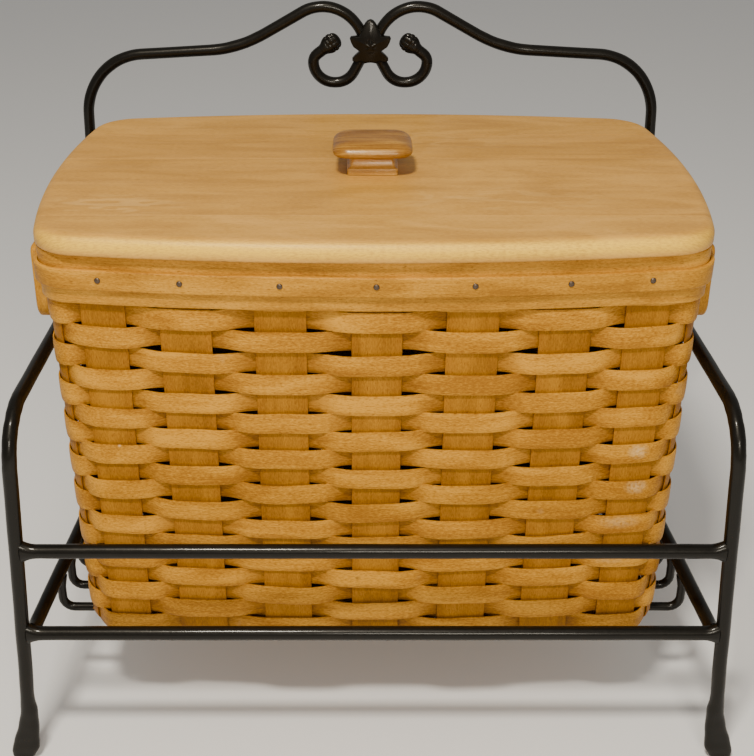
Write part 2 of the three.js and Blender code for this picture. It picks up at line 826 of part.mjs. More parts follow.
function knobScrewBore(depth) {
  const radius = knobScrewRadius + boreClearance;
  const bore = new THREE.CylinderGeometry(radius, radius, depth, smallRoundSides);
  bore.rotateX(Math.PI / 2);
  return bore;
}

// The slab is glued up from boards that run along its length
function addBoards(lid) {
  const slab = lidSlab();
  const tall = 2 * (lidThickness + boreOverrun);
  const bore = knobScrewBore(tall);
  bore.translate(0, -knobSetForward, lidTop);
  const bored = slab.subtract(solidOf(bore));
  const reach = lidHalfDepth + boreOverrun;
  const edges = [-reach, ...boardJoints, reach];
  for (let board = 0; board + 1 < edges.length; board += 1) {
    const width = edges[board + 1] - edges[board];
    const block = new THREE.BoxGeometry(2 * (lidHalfLength + boreOverrun), width, tall);
    block.translate(0, edges[board] + width / 2, lidTop);
    const cut = bored.intersect(solidOf(block));
    addPiece(lid, `lid_board_${board + 1}`, geometryOf(cut), lidMaple);
  }
}

// Two battens hold the boards flat and keep the lid in place inside the rim
function addBattens(lid) {
  const mouth = rimFootprint.halfDepth - wallThickness - layerGap - innerBandThickness;
  const bow = rimFootprint.longBow * (battenX / rimFootprint.halfLength) ** 2;
  const length = 2 * (mouth - bow - battenEndClearance);
  for (const [side, sign] of [['left', -1], ['right', 1]]) {
    const geometry = new THREE.BoxGeometry(battenWidth, length, battenThickness);
    const batten = addPiece(lid, `lid_batten_${side}`, geometry, lidMaple);
    batten.position.set(sign * battenX, 0, lidBottom - battenThickness / 2);
  }
}

// The knob: a stepped foot, a hollowed stem and a domed cap on a rounded rectangle
function knobGeometry() {
  const rings = knobSide.map(([insetShare, heightShare]) => {
    const inset = insetShare * knobStemInset;
    const height = heightShare * knobHeight;
    const footprint = {
      halfLength: knobLength / 2,
      halfDepth: knobDepth / 2,
      endBow: knobBow,
      longBow: knobBow,
      corner: Math.max(knobCorner, inset + knobLeastCorner),
    };
    const outline = fullOutline(footprint, inset, knobFacets);
    return outline.map((point) => new THREE.Vector3(point.x, point.y, height));
  });
  const bore = knobScrewBore(2 * (knobScrewDepth + boreOverrun));
  return geometryOf(solidOf(ringsToGeometry(rings, false)).subtract(solidOf(bore)));
}

function knobScrewGeometry() {
  const shank = lidThickness + knobScrewDepth;
  const profile = [
    ...screwHeadSide.map(([radius, depth]) => [radius * screwHeadRadius, -depth * screwHeadHeight]),
    [knobScrewRadius, 0],
    [knobScrewRadius, shank],
    [0, shank],
  ].map(([radius, height]) => new THREE.Vector2(radius, height));
  const geometry = new THREE.LatheGeometry(profile, smallRoundSides);
  geometry.rotateX(Math.PI / 2);
  return geometry;
}

function buildLid() {
  const lid = new THREE.Group();
  lid.position.y = basketMiddle;
  addBoards(lid);
  addBattens(lid);
  const knob = addPiece(lid, 'knob', knobGeometry(), knobMaple);
  knob.position.set(0, -knobSetForward, lidTop + seatGap);
  const screw = addPiece(lid, 'knob_screw', knobScrewGeometry(), dullSteel);
  screw.position.set(0, -knobSetForward, lidBottom - seatGap);
  return lid;
}

part.add(buildStand());
part.add(buildBasket());
part.add(buildLid());

export default part;
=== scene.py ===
import math

import bmesh
import bpy
import numpy as np
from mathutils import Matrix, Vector


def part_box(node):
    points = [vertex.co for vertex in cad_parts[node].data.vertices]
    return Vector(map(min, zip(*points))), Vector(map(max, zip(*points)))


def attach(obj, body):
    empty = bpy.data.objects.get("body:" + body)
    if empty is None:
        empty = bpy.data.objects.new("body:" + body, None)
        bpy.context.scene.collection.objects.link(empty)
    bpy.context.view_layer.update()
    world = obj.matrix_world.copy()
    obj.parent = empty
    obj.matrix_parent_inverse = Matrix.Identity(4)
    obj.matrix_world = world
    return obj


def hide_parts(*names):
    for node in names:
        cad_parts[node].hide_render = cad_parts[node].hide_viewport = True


# The looks of a lidded woven basket in its iron cradle.
# Sizes in the settings are millimetres, and addLoft and addBoard turn them into metres.

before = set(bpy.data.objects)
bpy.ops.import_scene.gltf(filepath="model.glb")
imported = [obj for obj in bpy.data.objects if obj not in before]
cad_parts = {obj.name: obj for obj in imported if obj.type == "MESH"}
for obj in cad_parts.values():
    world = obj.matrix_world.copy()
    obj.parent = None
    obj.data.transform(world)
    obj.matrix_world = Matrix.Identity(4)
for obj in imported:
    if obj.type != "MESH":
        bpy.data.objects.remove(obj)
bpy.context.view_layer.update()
rng = np.random.default_rng(11)
print("stage: frame loaded")


# Helpers for meshes


def lerp(low, high, share):
    return low + (high - low) * share


# Each vector divided by its own length
def unit(vectors):
    return vectors / np.linalg.norm(vectors, axis=-1, keepdims=True)


# The distance run along a closed line of points, or the mean of that over several lines
def runLength(points):
    steps = np.linalg.norm(np.roll(points, -1, 0) - points, axis=-1)
    return np.concatenate([[0], np.cumsum(steps.reshape(len(points), -1).mean(1))])


# A smooth random wave with a period: a sum of sines that get lower as they get shorter
def wander(share, waves, size):
    turns = np.arange(1, waves + 1)
    phases = rng.uniform(0, 2 * np.pi, waves)
    heights = rng.normal(0, 1, waves) / np.sqrt(turns)
    wave = (heights * np.sin(2 * np.pi * np.multiply.outer(share, turns) + phases)).sum(-1)
    return size * wave / np.sqrt((heights ** 2).sum() / 2 + 1e-9)


# Six times the volume inside some quads: each one's first corner times (second - fourth) x third
def signedVolume(points, faces):
    first, second, third, fourth = points[faces].transpose(1, 0, 2)
    return np.sum(first * np.cross(second - fourth, third))


# Quads between the rings of a grid, with the texture place of each corner
def loftFaces(rings, corners, closed, along, around):
    row, column = np.indices((rings if closed else rings - 1, corners))
    faces, uv = [], []
    for ahead, aside in ((0, 0), (0, 1), (1, 1), (1, 0)):
        faces.append((row + ahead) % rings * corners + (column + aside) % corners)
        uv.append(np.stack([along[row + ahead], around[column + aside]], -1))
    return np.stack(faces, -1).reshape(-1, 4), np.stack(uv, -2).reshape(-1, 4, 2)


# The first ring backwards and the last one forwards, as the faces that close a loft
def endCaps(rings, corners):
    return [list(range(corners))[::-1], list(range((rings - 1) * corners, rings * corners))]


# Gives each point of a mesh a value that its material reads
def setValues(mesh, key, values):
    attribute = mesh.attributes.new(key, "FLOAT", "POINT")
    attribute.data.foreach_set("value", np.ravel(values).astype(np.float32))


# Gives every face corner the texture place, in millimetres, that its point has in a list
def setGrain(mesh, places):
    corner = np.zeros(len(mesh.loops), int)
    mesh.loops.foreach_get("vertex_index", corner)
    mesh.uv_layers["grain"].data.foreach_set("uv", (places[corner] / 1000).ravel())


# The low and high corner of a CAD node's box, in millimetres
def nodeBox(name):
    return np.array(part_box(name)) * 1000


def newObject(name, data):
    made = bpy.data.objects.new(name, data)
    bpy.context.scene.collection.objects.link(made)
    return made


# Turns a mesh into a piece of the object: smooth apart from its sharp edges, and riding on a CAD body
def addPiece(name, mesh, body, material, stands, sharp=48):
    mesh.polygons.foreach_set("use_smooth", [True] * len(mesh.polygons))
    mesh.set_sharp_from_angle(angle=math.radians(sharp))
    mesh.materials.append(material)
    mesh.update()
    piece = newObject(name, mesh)
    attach(piece, body)
    if stands:
        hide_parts(*stands)
    return piece


# Joins rings of points, an array of [ring, corner, axis], into a piece: quads from each ring to the
# next, and end caps when it isn't closed. They are turned over when they enclose less than nothing.
def addLoft(name, rings, body, material, stands=(), closed=False, along=None, around=None, shade=None):
    count, corners = rings.shape[:2]
    along = runLength(rings.mean(1)) if along is None else along
    around = runLength(rings.transpose(1, 0, 2)) if around is None else around
    faces, uv = loftFaces(count, corners, closed, along, around)
    caps = [] if closed else endCaps(count, corners)
    points = rings.reshape(-1, 3)
    if signedVolume(points - points.mean(0), faces) < 0:
        faces, uv, caps = faces[:, ::-1], uv[:, ::-1], [cap[::-1] for cap in caps]
    mesh = bpy.data.meshes.new(name)
    mesh.from_pydata((points / 1000).tolist(), [], faces.tolist() + caps)
    uv = np.concatenate([uv.reshape(-1, 2), np.zeros((len(caps) * corners, 2))])
    mesh.uv_layers.new(name="grain").data.foreach_set("uv", (uv / 1000).ravel())
    if shade is not None:
        setValues(mesh, "shade", np.broadcast_to(shade, (count, corners)))
    return addPiece(name, mesh, body, material, stands)


# Materials


# Fills a node's inputs with other sockets, numbers or colours
def fill(tree, made, inputs):
    for key, value in inputs.items():
        socket = made.inputs[key]
        if isinstance(value, bpy.types.NodeSocket):
            tree.links.new(value, socket)
        else:
            socket.default_value = (*value, 1) if socket.type == "RGBA" else value


def node(tree, kind, inputs=None, **settings):
    made = tree.nodes.new(kind)
    for key, value in settings.items():
        setattr(made, key, value)
    fill(tree, made, inputs or {})
    return made


# A new material with values for its shader
def startMaterial(name, inputs):
    material = bpy.data.materials.new(name)
    material.use_nodes = True
    shader = material.node_tree.nodes["Principled BSDF"]
    fill(material.node_tree, shader, inputs)
    return material, material.node_tree, shader


# A colour for each value between the stops, which are (place, colour)
def ramp(tree, factor, stops):
    made = node(tree, "ShaderNodeValToRGB", {"Fac": factor})
    elements = made.color_ramp.elements
    while len(elements) < len(stops):
        elements.new(0.5)
    for element, (place, colour) in zip(elements, stops):
        element.position = place
        element.color = (*colour, 1)
    return made.outputs["Color"]


def mapRange(tree, value, low, high, toLow, toHigh):
    inputs = {"Value": value, "From Min": low, "From Max": high, "To Min": toLow, "To Max": toHigh}
    return node(tree, "ShaderNodeMapRange", inputs).outputs["Result"]


def plus(tree, first, second):
    return node(tree, "ShaderNodeMath", {0: first, 1: second}, operation="ADD").outputs[0]


def times(tree, first, second):
    return node(tree, "ShaderNodeMath", {0: first, 1: second}, operation="MULTIPLY").outputs[0]


def noise(tree, vector, scale, detail, roughness, distortion=0.0):
    inputs = {
        "Vector": vector, "Scale": scale, "Detail": detail, "Roughness": roughness,
        "Distortion": distortion,
    }
    return node(tree, "ShaderNodeTexNoise", inputs).outputs["Fac"]


def mixColour(tree, factor, first, second, blend="MIX"):
    inputs = {0: factor, 6: first, 7: second}
    return node(tree, "ShaderNodeMix", inputs, data_type="RGBA", blend_type=blend).outputs[2]


def bump(tree, height, strength, distance, **more):
    inputs = {"Height": height, "Strength": strength, "Distance": distance, **more}
    return node(tree, "ShaderNodeBump", inputs).outputs["Normal"]


# The places where a piece was built, in metres
def objectPlace(tree):
    return node(tree, "ShaderNodeTexCoord").outputs["Object"]


# Blends colours in where soft ovals and a pattern meet. An oval is 1 near its centre and 0 outside.
def blendOvals(tree, colour, ovals, pattern):
    place = objectPlace(tree)
    for centre, size, strength, ovalColour in ovals:
        centre, scale = tuple(value / 1000 for value in centre), tuple(1000 / value for value in size)
        shares = place
        for operation, value in (("SUBTRACT", centre), ("MULTIPLY", scale)):
            shares = node(tree, "ShaderNodeVectorMath", {0: shares, 1: value}, operation=operation).outputs[0]
        far = node(tree, "ShaderNodeVectorMath", {0: shares}, operation="LENGTH").outputs["Value"]
        inside = times(tree, mapRange(tree, far, 0.4, 1.0, 1.0, 0.0), pattern)
        colour = mixColour(tree, times(tree, inside, strength), colour, ovalColour)
    return colour


# Maple, with its grain along the first texture direction: streaks and slow changes of tone, a fine mottle,
# dark flecks, and then the shade value (painted shade on the weave, the up-splints and the knob's cap, each
# board's own tone on the lid), the lid's flames, a painted highlight on its front edge, and the scuffs
def woodMaterial(name, settings):
    roughness, share = settings["roughness"], settings["streakShare"]
    material, tree, shader = startMaterial(name, {
        "Roughness": roughness, "Coat Weight": settings["coat"],
        "Coat Roughness": settings["coatRoughness"],
        "Specular IOR Level": settings["specular"], "Specular Tint": (1, 0.9, 0.72),
    })
    source = node(tree, "ShaderNodeUVMap", uv_map="grain").outputs["UV"]

    def grainNoise(scale, *shape):
        stretched = node(tree, "ShaderNodeMapping", {"Vector": source, "Scale": scale}).outputs[0]
        return noise(tree, stretched, 1.0, *shape)

    def pointValue(key):
        return node(tree, "ShaderNodeAttribute", attribute_name=key).outputs["Fac"]

    streaks = grainNoise(settings["streakScale"], 4.0, 0.6, settings["waver"])
    blotches = grainNoise(settings["blotchScale"], 2.0, 0.5, settings["swirl"])
    flecks = grainNoise(settings["fleckScale"], 2.0, 0.6)
    grain = grainNoise(settings["mottleScale"], 2.0, 0.6)
    mottle = mapRange(tree, grain, 0.3, 0.7, -settings["mottle"], settings["mottle"])
    tone = plus(tree, times(tree, streaks, share), times(tree, blotches, 1 - share))
    colour = ramp(tree, plus(tree, tone, mottle), settings["tones"])
    fleckFrom = settings["fleckFrom"]
    fleckMask = mapRange(tree, flecks, fleckFrom, fleckFrom + 0.08, 0.0, settings["fleckDepth"])
    colour = mixColour(tree, fleckMask, colour, settings["fleckColour"])
    # The shade value darkens by the shade colour: painted shade on the weave, up-splints and knob's cap, and
    # each board's own tone on the lid
    if settings.get("shade"):
        factor = mapRange(tree, pointValue("shade"), 0.0, 1.0, settings["shade"], 0.0)
        colour = mixColour(tree, factor, colour, settings["shadeColour"], "MULTIPLY")
    if settings.get("flames"):
        flames = grainNoise(settings["flameScale"], 2.0, 0.45, 1.4)
        colour = blendOvals(tree, colour, settings["flames"], mapRange(tree, flames, 0.5, 0.56, 0.0, 1.0))
    # Painted highlight: a lighter golden colour along the lid's front edge, patchy with the fine grain
    if settings.get("paintedHighlight"):
        patchyHighlight = times(tree, pointValue("paintedHighlight"), mapRange(tree, grain, 0.35, 0.6, 0.45, 1.0))
        colour = mixColour(tree, times(tree, patchyHighlight, settings["paintedHighlight"]), colour, settings["highlightColour"])
    if settings.get("scuffs"):
        place = objectPlace(tree)
        rubbed = mapRange(tree, noise(tree, place, 26.0, 3.0, 0.6), 0.70, 0.80, 0.0, settings["scuffs"])
        colour = mixColour(tree, rubbed, colour, settings["scuffColour"])
        broken = mapRange(tree, noise(tree, place, 420.0, 2.0, 0.6), 0.36, 0.56, 0.15, 1.0)
        colour = blendOvals(tree, colour, settings["marks"], broken)
    fill(tree, shader, {
        "Base Color": colour,
        "Roughness": mapRange(tree, streaks, 0.3, 0.7, roughness - 0.06, roughness + 0.08),
        "Normal": bump(tree, plus(tree, streaks, grain), settings["bump"], 0.0004),
    })
    return material


# Satin black paint over hammered bar: soft dents, faint brown rubbed spots and dust
def ironMaterial(name, settings):
    roughness = settings["roughness"]
    material, tree, shader = startMaterial(name, {
        "Roughness": roughness, "Metallic": settings["metallic"], "Specular IOR Level": 0.15,
        "Specular Tint": (1, 0.94, 0.84), "Coat Weight": settings["coat"], "Coat Roughness": 0.11,
    })
    place = objectPlace(tree)
    dents = noise(tree, place, settings["dentScale"], 2.0, 0.5)
    grain = noise(tree, place, settings["grainScale"], 3.0, 0.6)
    worn = noise(tree, place, settings["wornScale"], 4.0, 0.65)
    mask = mapRange(tree, worn, 0.55, 0.72, 0.0, settings["wornShare"])
    coarse = bump(tree, dents, settings["dent"], 0.0012)
    fill(tree, shader, {
        "Base Color": mixColour(tree, mask, settings["black"], settings["brown"]),
        "Roughness": mapRange(tree, grain, 0.3, 0.7, roughness - 0.07, roughness + 0.1),
        "Normal": bump(tree, grain, settings["grain"], 0.0003, Normal=coarse),
    })
    return material


mapleTones = dict(
    streakShare=0.35, fleckFrom=0.61, fleckDepth=0.75, bump=0.35, specular=0.2, coat=0.0,
    coatRoughness=0.3, streakScale=(22, 360, 1), blotchScale=(16, 45, 1), fleckScale=(300, 1350, 1),
    mottle=0.13, mottleScale=(390, 1150, 1), waver=0.5, swirl=0.8,
)
paleRub, fadedRub = (0.86, 0.61, 0.3), (0.84, 0.58, 0.28)
weaverMaple = woodMaterial("weaver_maple", dict(
    mapleTones, roughness=0.5,
    tones=[(0.34, (0.34, 0.13, 0.006)), (0.5, (0.51, 0.222, 0.013)), (0.66, (0.69, 0.33, 0.032))],
    # shade and shadeColour set how dark the weave's painted shade gets
    fleckColour=(0.24, 0.085, 0.006), shade=1.0, shadeColour=(0.58, 0.5, 0.36),
    scuffs=0.35, scuffColour=(0.74, 0.52, 0.25),
    marks=[
        ((167, -136, 217), (8.5, 14, 7), 0.5, paleRub), ((168, -136, 191), (9.5, 14, 6.5), 0.45, paleRub),
        ((160, -136, 165), (17, 14, 6), 0.25, fadedRub), ((156, -136, 137), (17, 14, 5), 0.2, fadedRub),
        ((-159, -136, 223), (1.6, 14, 3.4), 0.7, (0.88, 0.66, 0.38)),
        ((-9.6, -140, 126), (2.4, 12, 1.7), 0.85, (0.2, 0.08, 0.01)),
    ],
))
stakeMaple = woodMaterial("stake_maple", dict(
    mapleTones, roughness=0.5,
    tones=[(0.3, (0.24, 0.09, 0.002)), (0.5, (0.345, 0.138, 0.004)), (0.7, (0.45, 0.19, 0.008))],
    # shade and shadeColour set how dark the painted shade along the strips' edges gets
    fleckColour=(0.2, 0.06, 0.002), shade=0.7, shadeColour=(0.6, 0.42, 0.22),
))
bandMaple = woodMaterial("band_maple", dict(
    mapleTones, roughness=0.44,
    tones=[(0.34, (0.34, 0.14, 0.01)), (0.5, (0.5, 0.225, 0.018)), (0.66, (0.66, 0.32, 0.036))],
    fleckColour=(0.2, 0.07, 0.006), mottle=0.1,
))
flameColour = (0.8, 0.47, 0.13)
lidMaple = woodMaterial("lid_maple", dict(
    # The strength and colour of the painted highlight on the lid's front edge
    mapleTones, roughness=0.42, bump=0.3, specular=0.42, paintedHighlight=1.0, highlightColour=(1.0, 0.61, 0.05),
    tones=[(0.32, (0.5, 0.245, 0.04)), (0.5, (0.61, 0.315, 0.058)), (0.68, (0.71, 0.38, 0.08))],
    streakShare=0.3, streakScale=(4.5, 170, 1), blotchScale=(9, 34, 1), swirl=1.6,
    fleckScale=(110, 1100, 1), fleckFrom=0.63, fleckColour=(0.36, 0.15, 0.02),
    mottle=0.1, mottleScale=(320, 950, 1), shade=0.8, shadeColour=(0.78, 0.7, 0.58),
    flameScale=(26, 95, 1),
    flames=[
        ((-160, -80, 362), (52, 24, 9), 0.45, flameColour), ((70, -70, 362), (100, 30, 9), 0.3, flameColour),
        ((40, 60, 362), (90, 30, 9), 0.25, flameColour),
    ],
))
knobMaple = woodMaterial("knob_maple", dict(
    mapleTones, roughness=0.3, coat=0.15, coatRoughness=0.16, bump=0.2, specular=0.5,
    # Light tones for the stem and a dark shade colour for the cap: painted light and shade
    tones=[(0.36, (0.33, 0.15, 0.02)), (0.5, (0.54, 0.275, 0.05)), (0.64, (0.8, 0.47, 0.12))],
    streakShare=0.6, streakScale=(16, 520, 1), blotchScale=(24, 80, 1), mottle=0.04,
    fleckColour=(0.2, 0.075, 0.008), fleckDepth=0.3, shade=1.0, shadeColour=(0.56, 0.47, 0.3),
))
ironSettings = dict(
    roughness=0.33, metallic=0.0, black=(0.0046, 0.004, 0.003), brown=(0.009, 0.0075, 0.005),
    dentScale=60, grainScale=900, wornScale=35, wornShare=0.6, dent=0.16, grain=0.12, coat=0.22,
)
blackIron = ironMaterial("black_iron", ironSettings)
dullSteel = ironMaterial("dull_steel", dict(
    ironSettings, metallic=0.8, black=(0.12, 0.085, 0.06), brown=(0.07, 0.045, 0.03), roughness=0.45,
))
print("stage: materials made")


# The basket's outline, the same footprints as in the CAD

basket = dict(
    bottom=78.6, height=270.3, middle=-7.5, grid=40, stations=24,
    frontX=[-163.8, -113.9, -55.6, 1.9, 58.9, 115.6, 165.5], sideShares=[0.14, 0.325, 0.5, 0.675, 0.86],
    rim=dict(halfLength=206.3, halfDepth=131, endBow=11, longBow=16.5, corner=20),
    floor=dict(halfLength=195.2, halfDepth=130, endBow=3, longBow=8, corner=26),
)


# One quarter of a rounded rectangle with bowed sides, from three arcs that touch.
# Shares run from the front middle to the right-hand middle, and an inset shortens every radius.
def quarterOutline(foot, inset, shares):
    halfLength, halfDepth, radius = foot["halfLength"], foot["halfDepth"], foot["corner"]
    longShare, cornerShare = 0.5, 0.75  # where the long arc and the corner arc end
    longRadius = (halfLength ** 2 + foot["longBow"] ** 2) / (2 * foot["longBow"])
    endRadius = (halfDepth ** 2 + foot["endBow"] ** 2) / (2 * foot["endBow"])
    longCentre = np.array([0, longRadius - halfDepth])
    endCentre = np.array([halfLength - endRadius, 0])
    distance = np.linalg.norm(endCentre - longCentre)
    towards = (endCentre - longCentre) / distance
    longReach, endReach = longRadius - radius, endRadius - radius
    along = (longReach ** 2 - endReach ** 2 + distance ** 2) / (2 * distance)
    across = math.sqrt(longReach ** 2 - along ** 2)
    cornerCentre = longCentre + towards * along + np.array([-towards[1], towards[0]]) * across
    longEnd = math.atan2(*(cornerCentre - longCentre)[::-1])
    endStart = math.atan2(*(cornerCentre - endCentre)[::-1])
    arcs = [
        (longCentre, longRadius, -math.pi / 2, longEnd, 0, longShare),
        (cornerCentre, radius, longEnd, endStart, longShare, cornerShare),
        (endCentre, endRadius, endStart, 0, cornerShare, 1),
    ]
    points = np.zeros((len(shares), 2))
    for centre, arcRadius, low, high, begin, end in arcs:
        inside = (shares >= begin) & (shares <= end)
        angle = lerp(low, high, (shares[inside] - begin) / (end - begin))
        points[inside] = centre + (arcRadius - inset) * np.stack([np.cos(angle), np.sin(angle)], -1)
    return points


# The whole outline, anticlockwise from above, starting at the front middle
def fullOutline(foot, inset, perQuarter):
    quarter = quarterOutline(foot, inset, np.arange(perQuarter + 1) / perQuarter)
    half = np.concatenate([quarter, quarter[-2::-1] * [1, -1]])
    return np.concatenate([half, half[-2:0:-1] * [-1, 1]])


# Puts a flat outline, drawn round the basket's own middle, at a height
def lifted(flat, height):
    return np.concatenate([flat + [0, basket["middle"]], np.full((len(flat), 1), height)], 1)


# Points, outward directions and spacing along an outline, with each up-splint one unit further
def stationTable(foot):
    perQuarter, grid, count = 900, basket["grid"], basket["stations"]
    outline = fullOutline(foot, 0, perQuarter)
    closed = np.concatenate([outline, outline[:1]])
    length = runLength(outline)
    half = length[-1] / 2
    frontX = np.array(basket["frontX"])
    front = np.sign(frontX) * np.interp(np.abs(frontX), outline[:perQuarter, 0], length[:perQuarter])
    share = np.array(basket["sideShares"])
    right = lerp(front[6], half - front[6], share)
    left = lerp(half - front[0], 2 * half + front[0], share)
    stations = np.concatenate([front[3:], right, half - front[::-1], left, 2 * half + front[:4]])
    place = np.interp(np.arange(count * grid + 1) / grid, np.arange(count + 1), stations)
    points = np.stack([np.interp(place % length[-1], length, closed[:, axis]) for axis in (0, 1)], -1)
    ahead = unit(np.roll(points[:-1], -1, 0) - np.roll(points[:-1], 1, 0))
    outwards = np.stack([ahead[:, 1], -ahead[:, 0]], -1)
    return points, np.concatenate([outwards, outwards[:1]]), np.gradient(place) * grid


lowTable, highTable = stationTable(basket["floor"]), stationTable(basket["rim"])


# A point of the wall at a place (in up-splints) and a height, moved outwards by an offset:
# the floor's outline mixed with the rim's by the share of the height
def wallPoint(place, height, offset):
    place, height, offset = np.broadcast_arrays(place, height, offset)
    share = ((height - basket["bottom"]) / basket["height"])[..., None]
    cells = (place % basket["stations"]) * basket["grid"]
    index = np.minimum(cells.astype(int), basket["stations"] * basket["grid"] - 1)
    between = (cells - index)[..., None]

    def look(column):
        low, high = (
            lerp(table[column][index], table[column][index + 1], between) for table in (lowTable, highTable)
        )
        return lerp(low, high, share)

    flat = look(0) + unit(look(1)) * offset[..., None] + [0, basket["middle"]]
    return np.concatenate([flat, height[..., None]], -1)


# The length of one unit of place at a height
def spacingAt(place, height):
    share = (height - basket["bottom"]) / basket["height"]
    cell = round((place % basket["stations"]) * basket["grid"])
    return lerp(lowTable[2][cell], highTable[2][cell], share)


# Weave

weave = dict(
    topRows=[336.4, 323.0, 308.8, 295.3, 280.2, 267.0, 253.6], rowPitch=12.95, lowRows=13, perStation=26,
    width=13.3, widthSwing=0.25, sideExtra=2.0, sideFrom=3.3, sideReach=0.72, sag=0.45, fullness=1.14,
    thickness=1.15, crown=0.14, reach=2.2, meanInset=2.1,
    widthWander=(40, 0.14), heightWander=(30, 0.42), reachWander=(24, 0.06),
    grainLength=1306, grainStep=(1700, 90),
)
stake = dict(
    frontWidths=[27.5, 31.2, 31, 30.2, 31.4, 31.4, 27], sideWidth=30.9, thickness=1.2, sway=0.3, top=346.5,
    across=np.array([-1, -0.94, -0.5, 0, 0.5, 0.94, 1]), bend=3.0, grainStep=(2100, 160), push=4.5,
    wallSteps=110, floorSteps=120, floorHeight=basket["bottom"] + 1.6, floorSway=0.75,
)
rowHeights = weave["topRows"] + [
    weave["topRows"][-1] - weave["rowPitch"] * number for number in range(1, weave["lowRows"] + 1)
]


# How far out a weaver lies, from -1 behind an up-splint to 1 in front of the next: a flattened wave
def swell(place, row):
    turn = np.cos(np.pi * place) * (-1) ** row
    return np.sin(np.pi / 2 * np.clip(weave["fullness"] * turn, -1, 1))


# One weaver: a flat strip with a crowned face, carried round the wall in and out of the up-splints
def addWeaver(row, height):
    count = basket["stations"] * weave["perStation"]
    share = np.arange(count) / count
    place = basket["stations"] * (share + 0.5)  # the grain's ends meet at the back
    out = swell(place, row)
    across = np.array([-1, -0.95, -0.5, 0, 0.5, 0.95, 1])
    thin = weave["thickness"] / 2 * (1 - 0.4 * np.abs(across) ** 12)
    fromFront = basket["stations"] * np.abs(share - 0.5)
    atSide = np.clip((fromFront - weave["sideFrom"]) * 2, 0, 1)
    width = weave["width"] + weave["widthSwing"] * out + wander(share, *weave["widthWander"])
    width = width + weave["sideExtra"] * atSide
    middle = height + weave["sag"] * (1 - out) + wander(share, *weave["heightWander"])
    reach = weave["reach"] * (1 + wander(share, *weave["reachWander"])) * lerp(1, weave["sideReach"], atSide)
    heights = middle[:, None] + width[:, None] / 2 * across
    centre = (out * reach)[:, None] - weave["meanInset"] + weave["crown"] * (1 - across ** 2)
    front, back = (wallPoint(place[:, None], heights, centre + side * thin) for side in (1, -1))
    alongStep, aroundStep = weave["grainStep"]
    around = np.concatenate([across, across[::-1], across[:1]]) * weave["width"] / 2 + aroundStep * row
    along = np.concatenate([share, [1]]) * weave["grainLength"] + alongStep * row
    # Painted shade: the weaver is darkened where it turns in behind an up-splint, and a little along its two
    # edges
    shade = np.clip((out + 0.9) / 1.3, 0, 1)[:, None] * (1 - 0.35 * np.abs(across) ** 8)
    addLoft(
        f"weaver_{row + 1:02d}", np.concatenate([front, back[:, ::-1]], 1), "basket", weaverMaple,
        ["woven_wall"] if row == 0 else (), True, along, around, np.concatenate([shade, shade], 1),
    )


for row, height in enumerate(rowHeights):
    addWeaver(row, height)
print("stage: weavers made")


# The places of the floor's strips along an axis: wide ones, and narrow ones between them
def stripPlaces(stations, axis):
    wide = np.sort(wallPoint(stations, basket["bottom"], -weave["meanInset"])[:, axis])
    return np.sort(np.concatenate([wide, (wide[1:] + wide[:-1]) / 2]))


stripsX = stripPlaces(np.arange(-3.0, 4.0), 0)
stripsY = stripPlaces(np.arange(4.0, 9.0), 1)


# How high a floor strip lies along its run: a wave over one crossing strip and under the next
def floorSway(run, crossing, parity):
    return parity * stake["floorSway"] * np.cos(np.pi * np.interp(run, crossing, np.arange(len(crossing))))


# The middle sheet of an up-splint, which goes down one side, under the floor and up the opposite side:
# wall points, then a quarter turn, then a straight run that the floor's weave lifts and drops
def stakeSheet(start, end, width, axis, parity):
    across, bend = stake["across"] * width / 2, stake["bend"]
    heights = np.linspace(stake["top"], stake["floorHeight"] + bend, stake["wallSteps"])
    out = np.zeros(len(heights))
    for row, rowHeight in enumerate(rowHeights):
        near = np.exp(-((heights - rowHeight) / stake["push"]) ** 2)
        out += near * math.cos(math.pi * start) * (-1) ** row
    inset = -weave["meanInset"] - stake["sway"] * out

    def side(place, sign):
        places = place + sign * across / spacingAt(place, heights)[:, None]
        return wallPoint(places, heights[:, None], inset[:, None])

    first, second = side(start, 1), side(end, -1)
    ahead = unit(second[-1] - first[-1])
    angles = np.linspace(0, np.pi / 2, 7)[1:, None, None]

    def under(edge, direction):
        return edge + bend * ((1 - np.cos(angles)) * direction - np.sin(angles) * np.array([0, 0, 1]))

    turnFirst, turnSecond = under(first[-1], ahead), under(second[-1], -ahead)
    share = np.linspace(0, 1, stake["floorSteps"])[1:-1, None, None]
    floor = lerp(turnFirst[-1], turnSecond[-1], share)
    fade = np.clip(np.minimum(share, 1 - share)[..., 0] * 14, 0, 1)
    floor[..., 2] += floorSway(floor[..., axis], (stripsX, stripsY)[axis], parity) * fade
    return np.concatenate([first, turnFirst, floor, turnSecond[::-1], second[::-1]])


# Thickens a sheet of middle points along its normals into a strip with softened edges
def addStrip(name, sheet, width, number, shade, stands=()):
    normal = unit(np.cross(np.gradient(sheet, axis=0), np.gradient(sheet, axis=1)))
    edge = np.abs(stake["across"])
    thin = (stake["thickness"] / 2 * (1 - 0.5 * edge ** 10))[None, :, None]
    rings = np.concatenate([sheet + normal * thin, (sheet - normal * thin)[:, ::-1]], 1)
    across = stake["across"] * width / 2
    alongStep, aroundStep = stake["grainStep"]
    around = np.concatenate([across, across[::-1], across[:1]]) + aroundStep * number
    # Painted shade: each strip is darkened towards its two edges
    shade = shade * (1 - 0.55 * np.concatenate([edge, edge[::-1]]) ** 6)
    along = runLength(sheet[:, 3]) + alongStep * number
    addLoft(name, rings, "basket", stakeMaple, stands, False, along, around, shade)


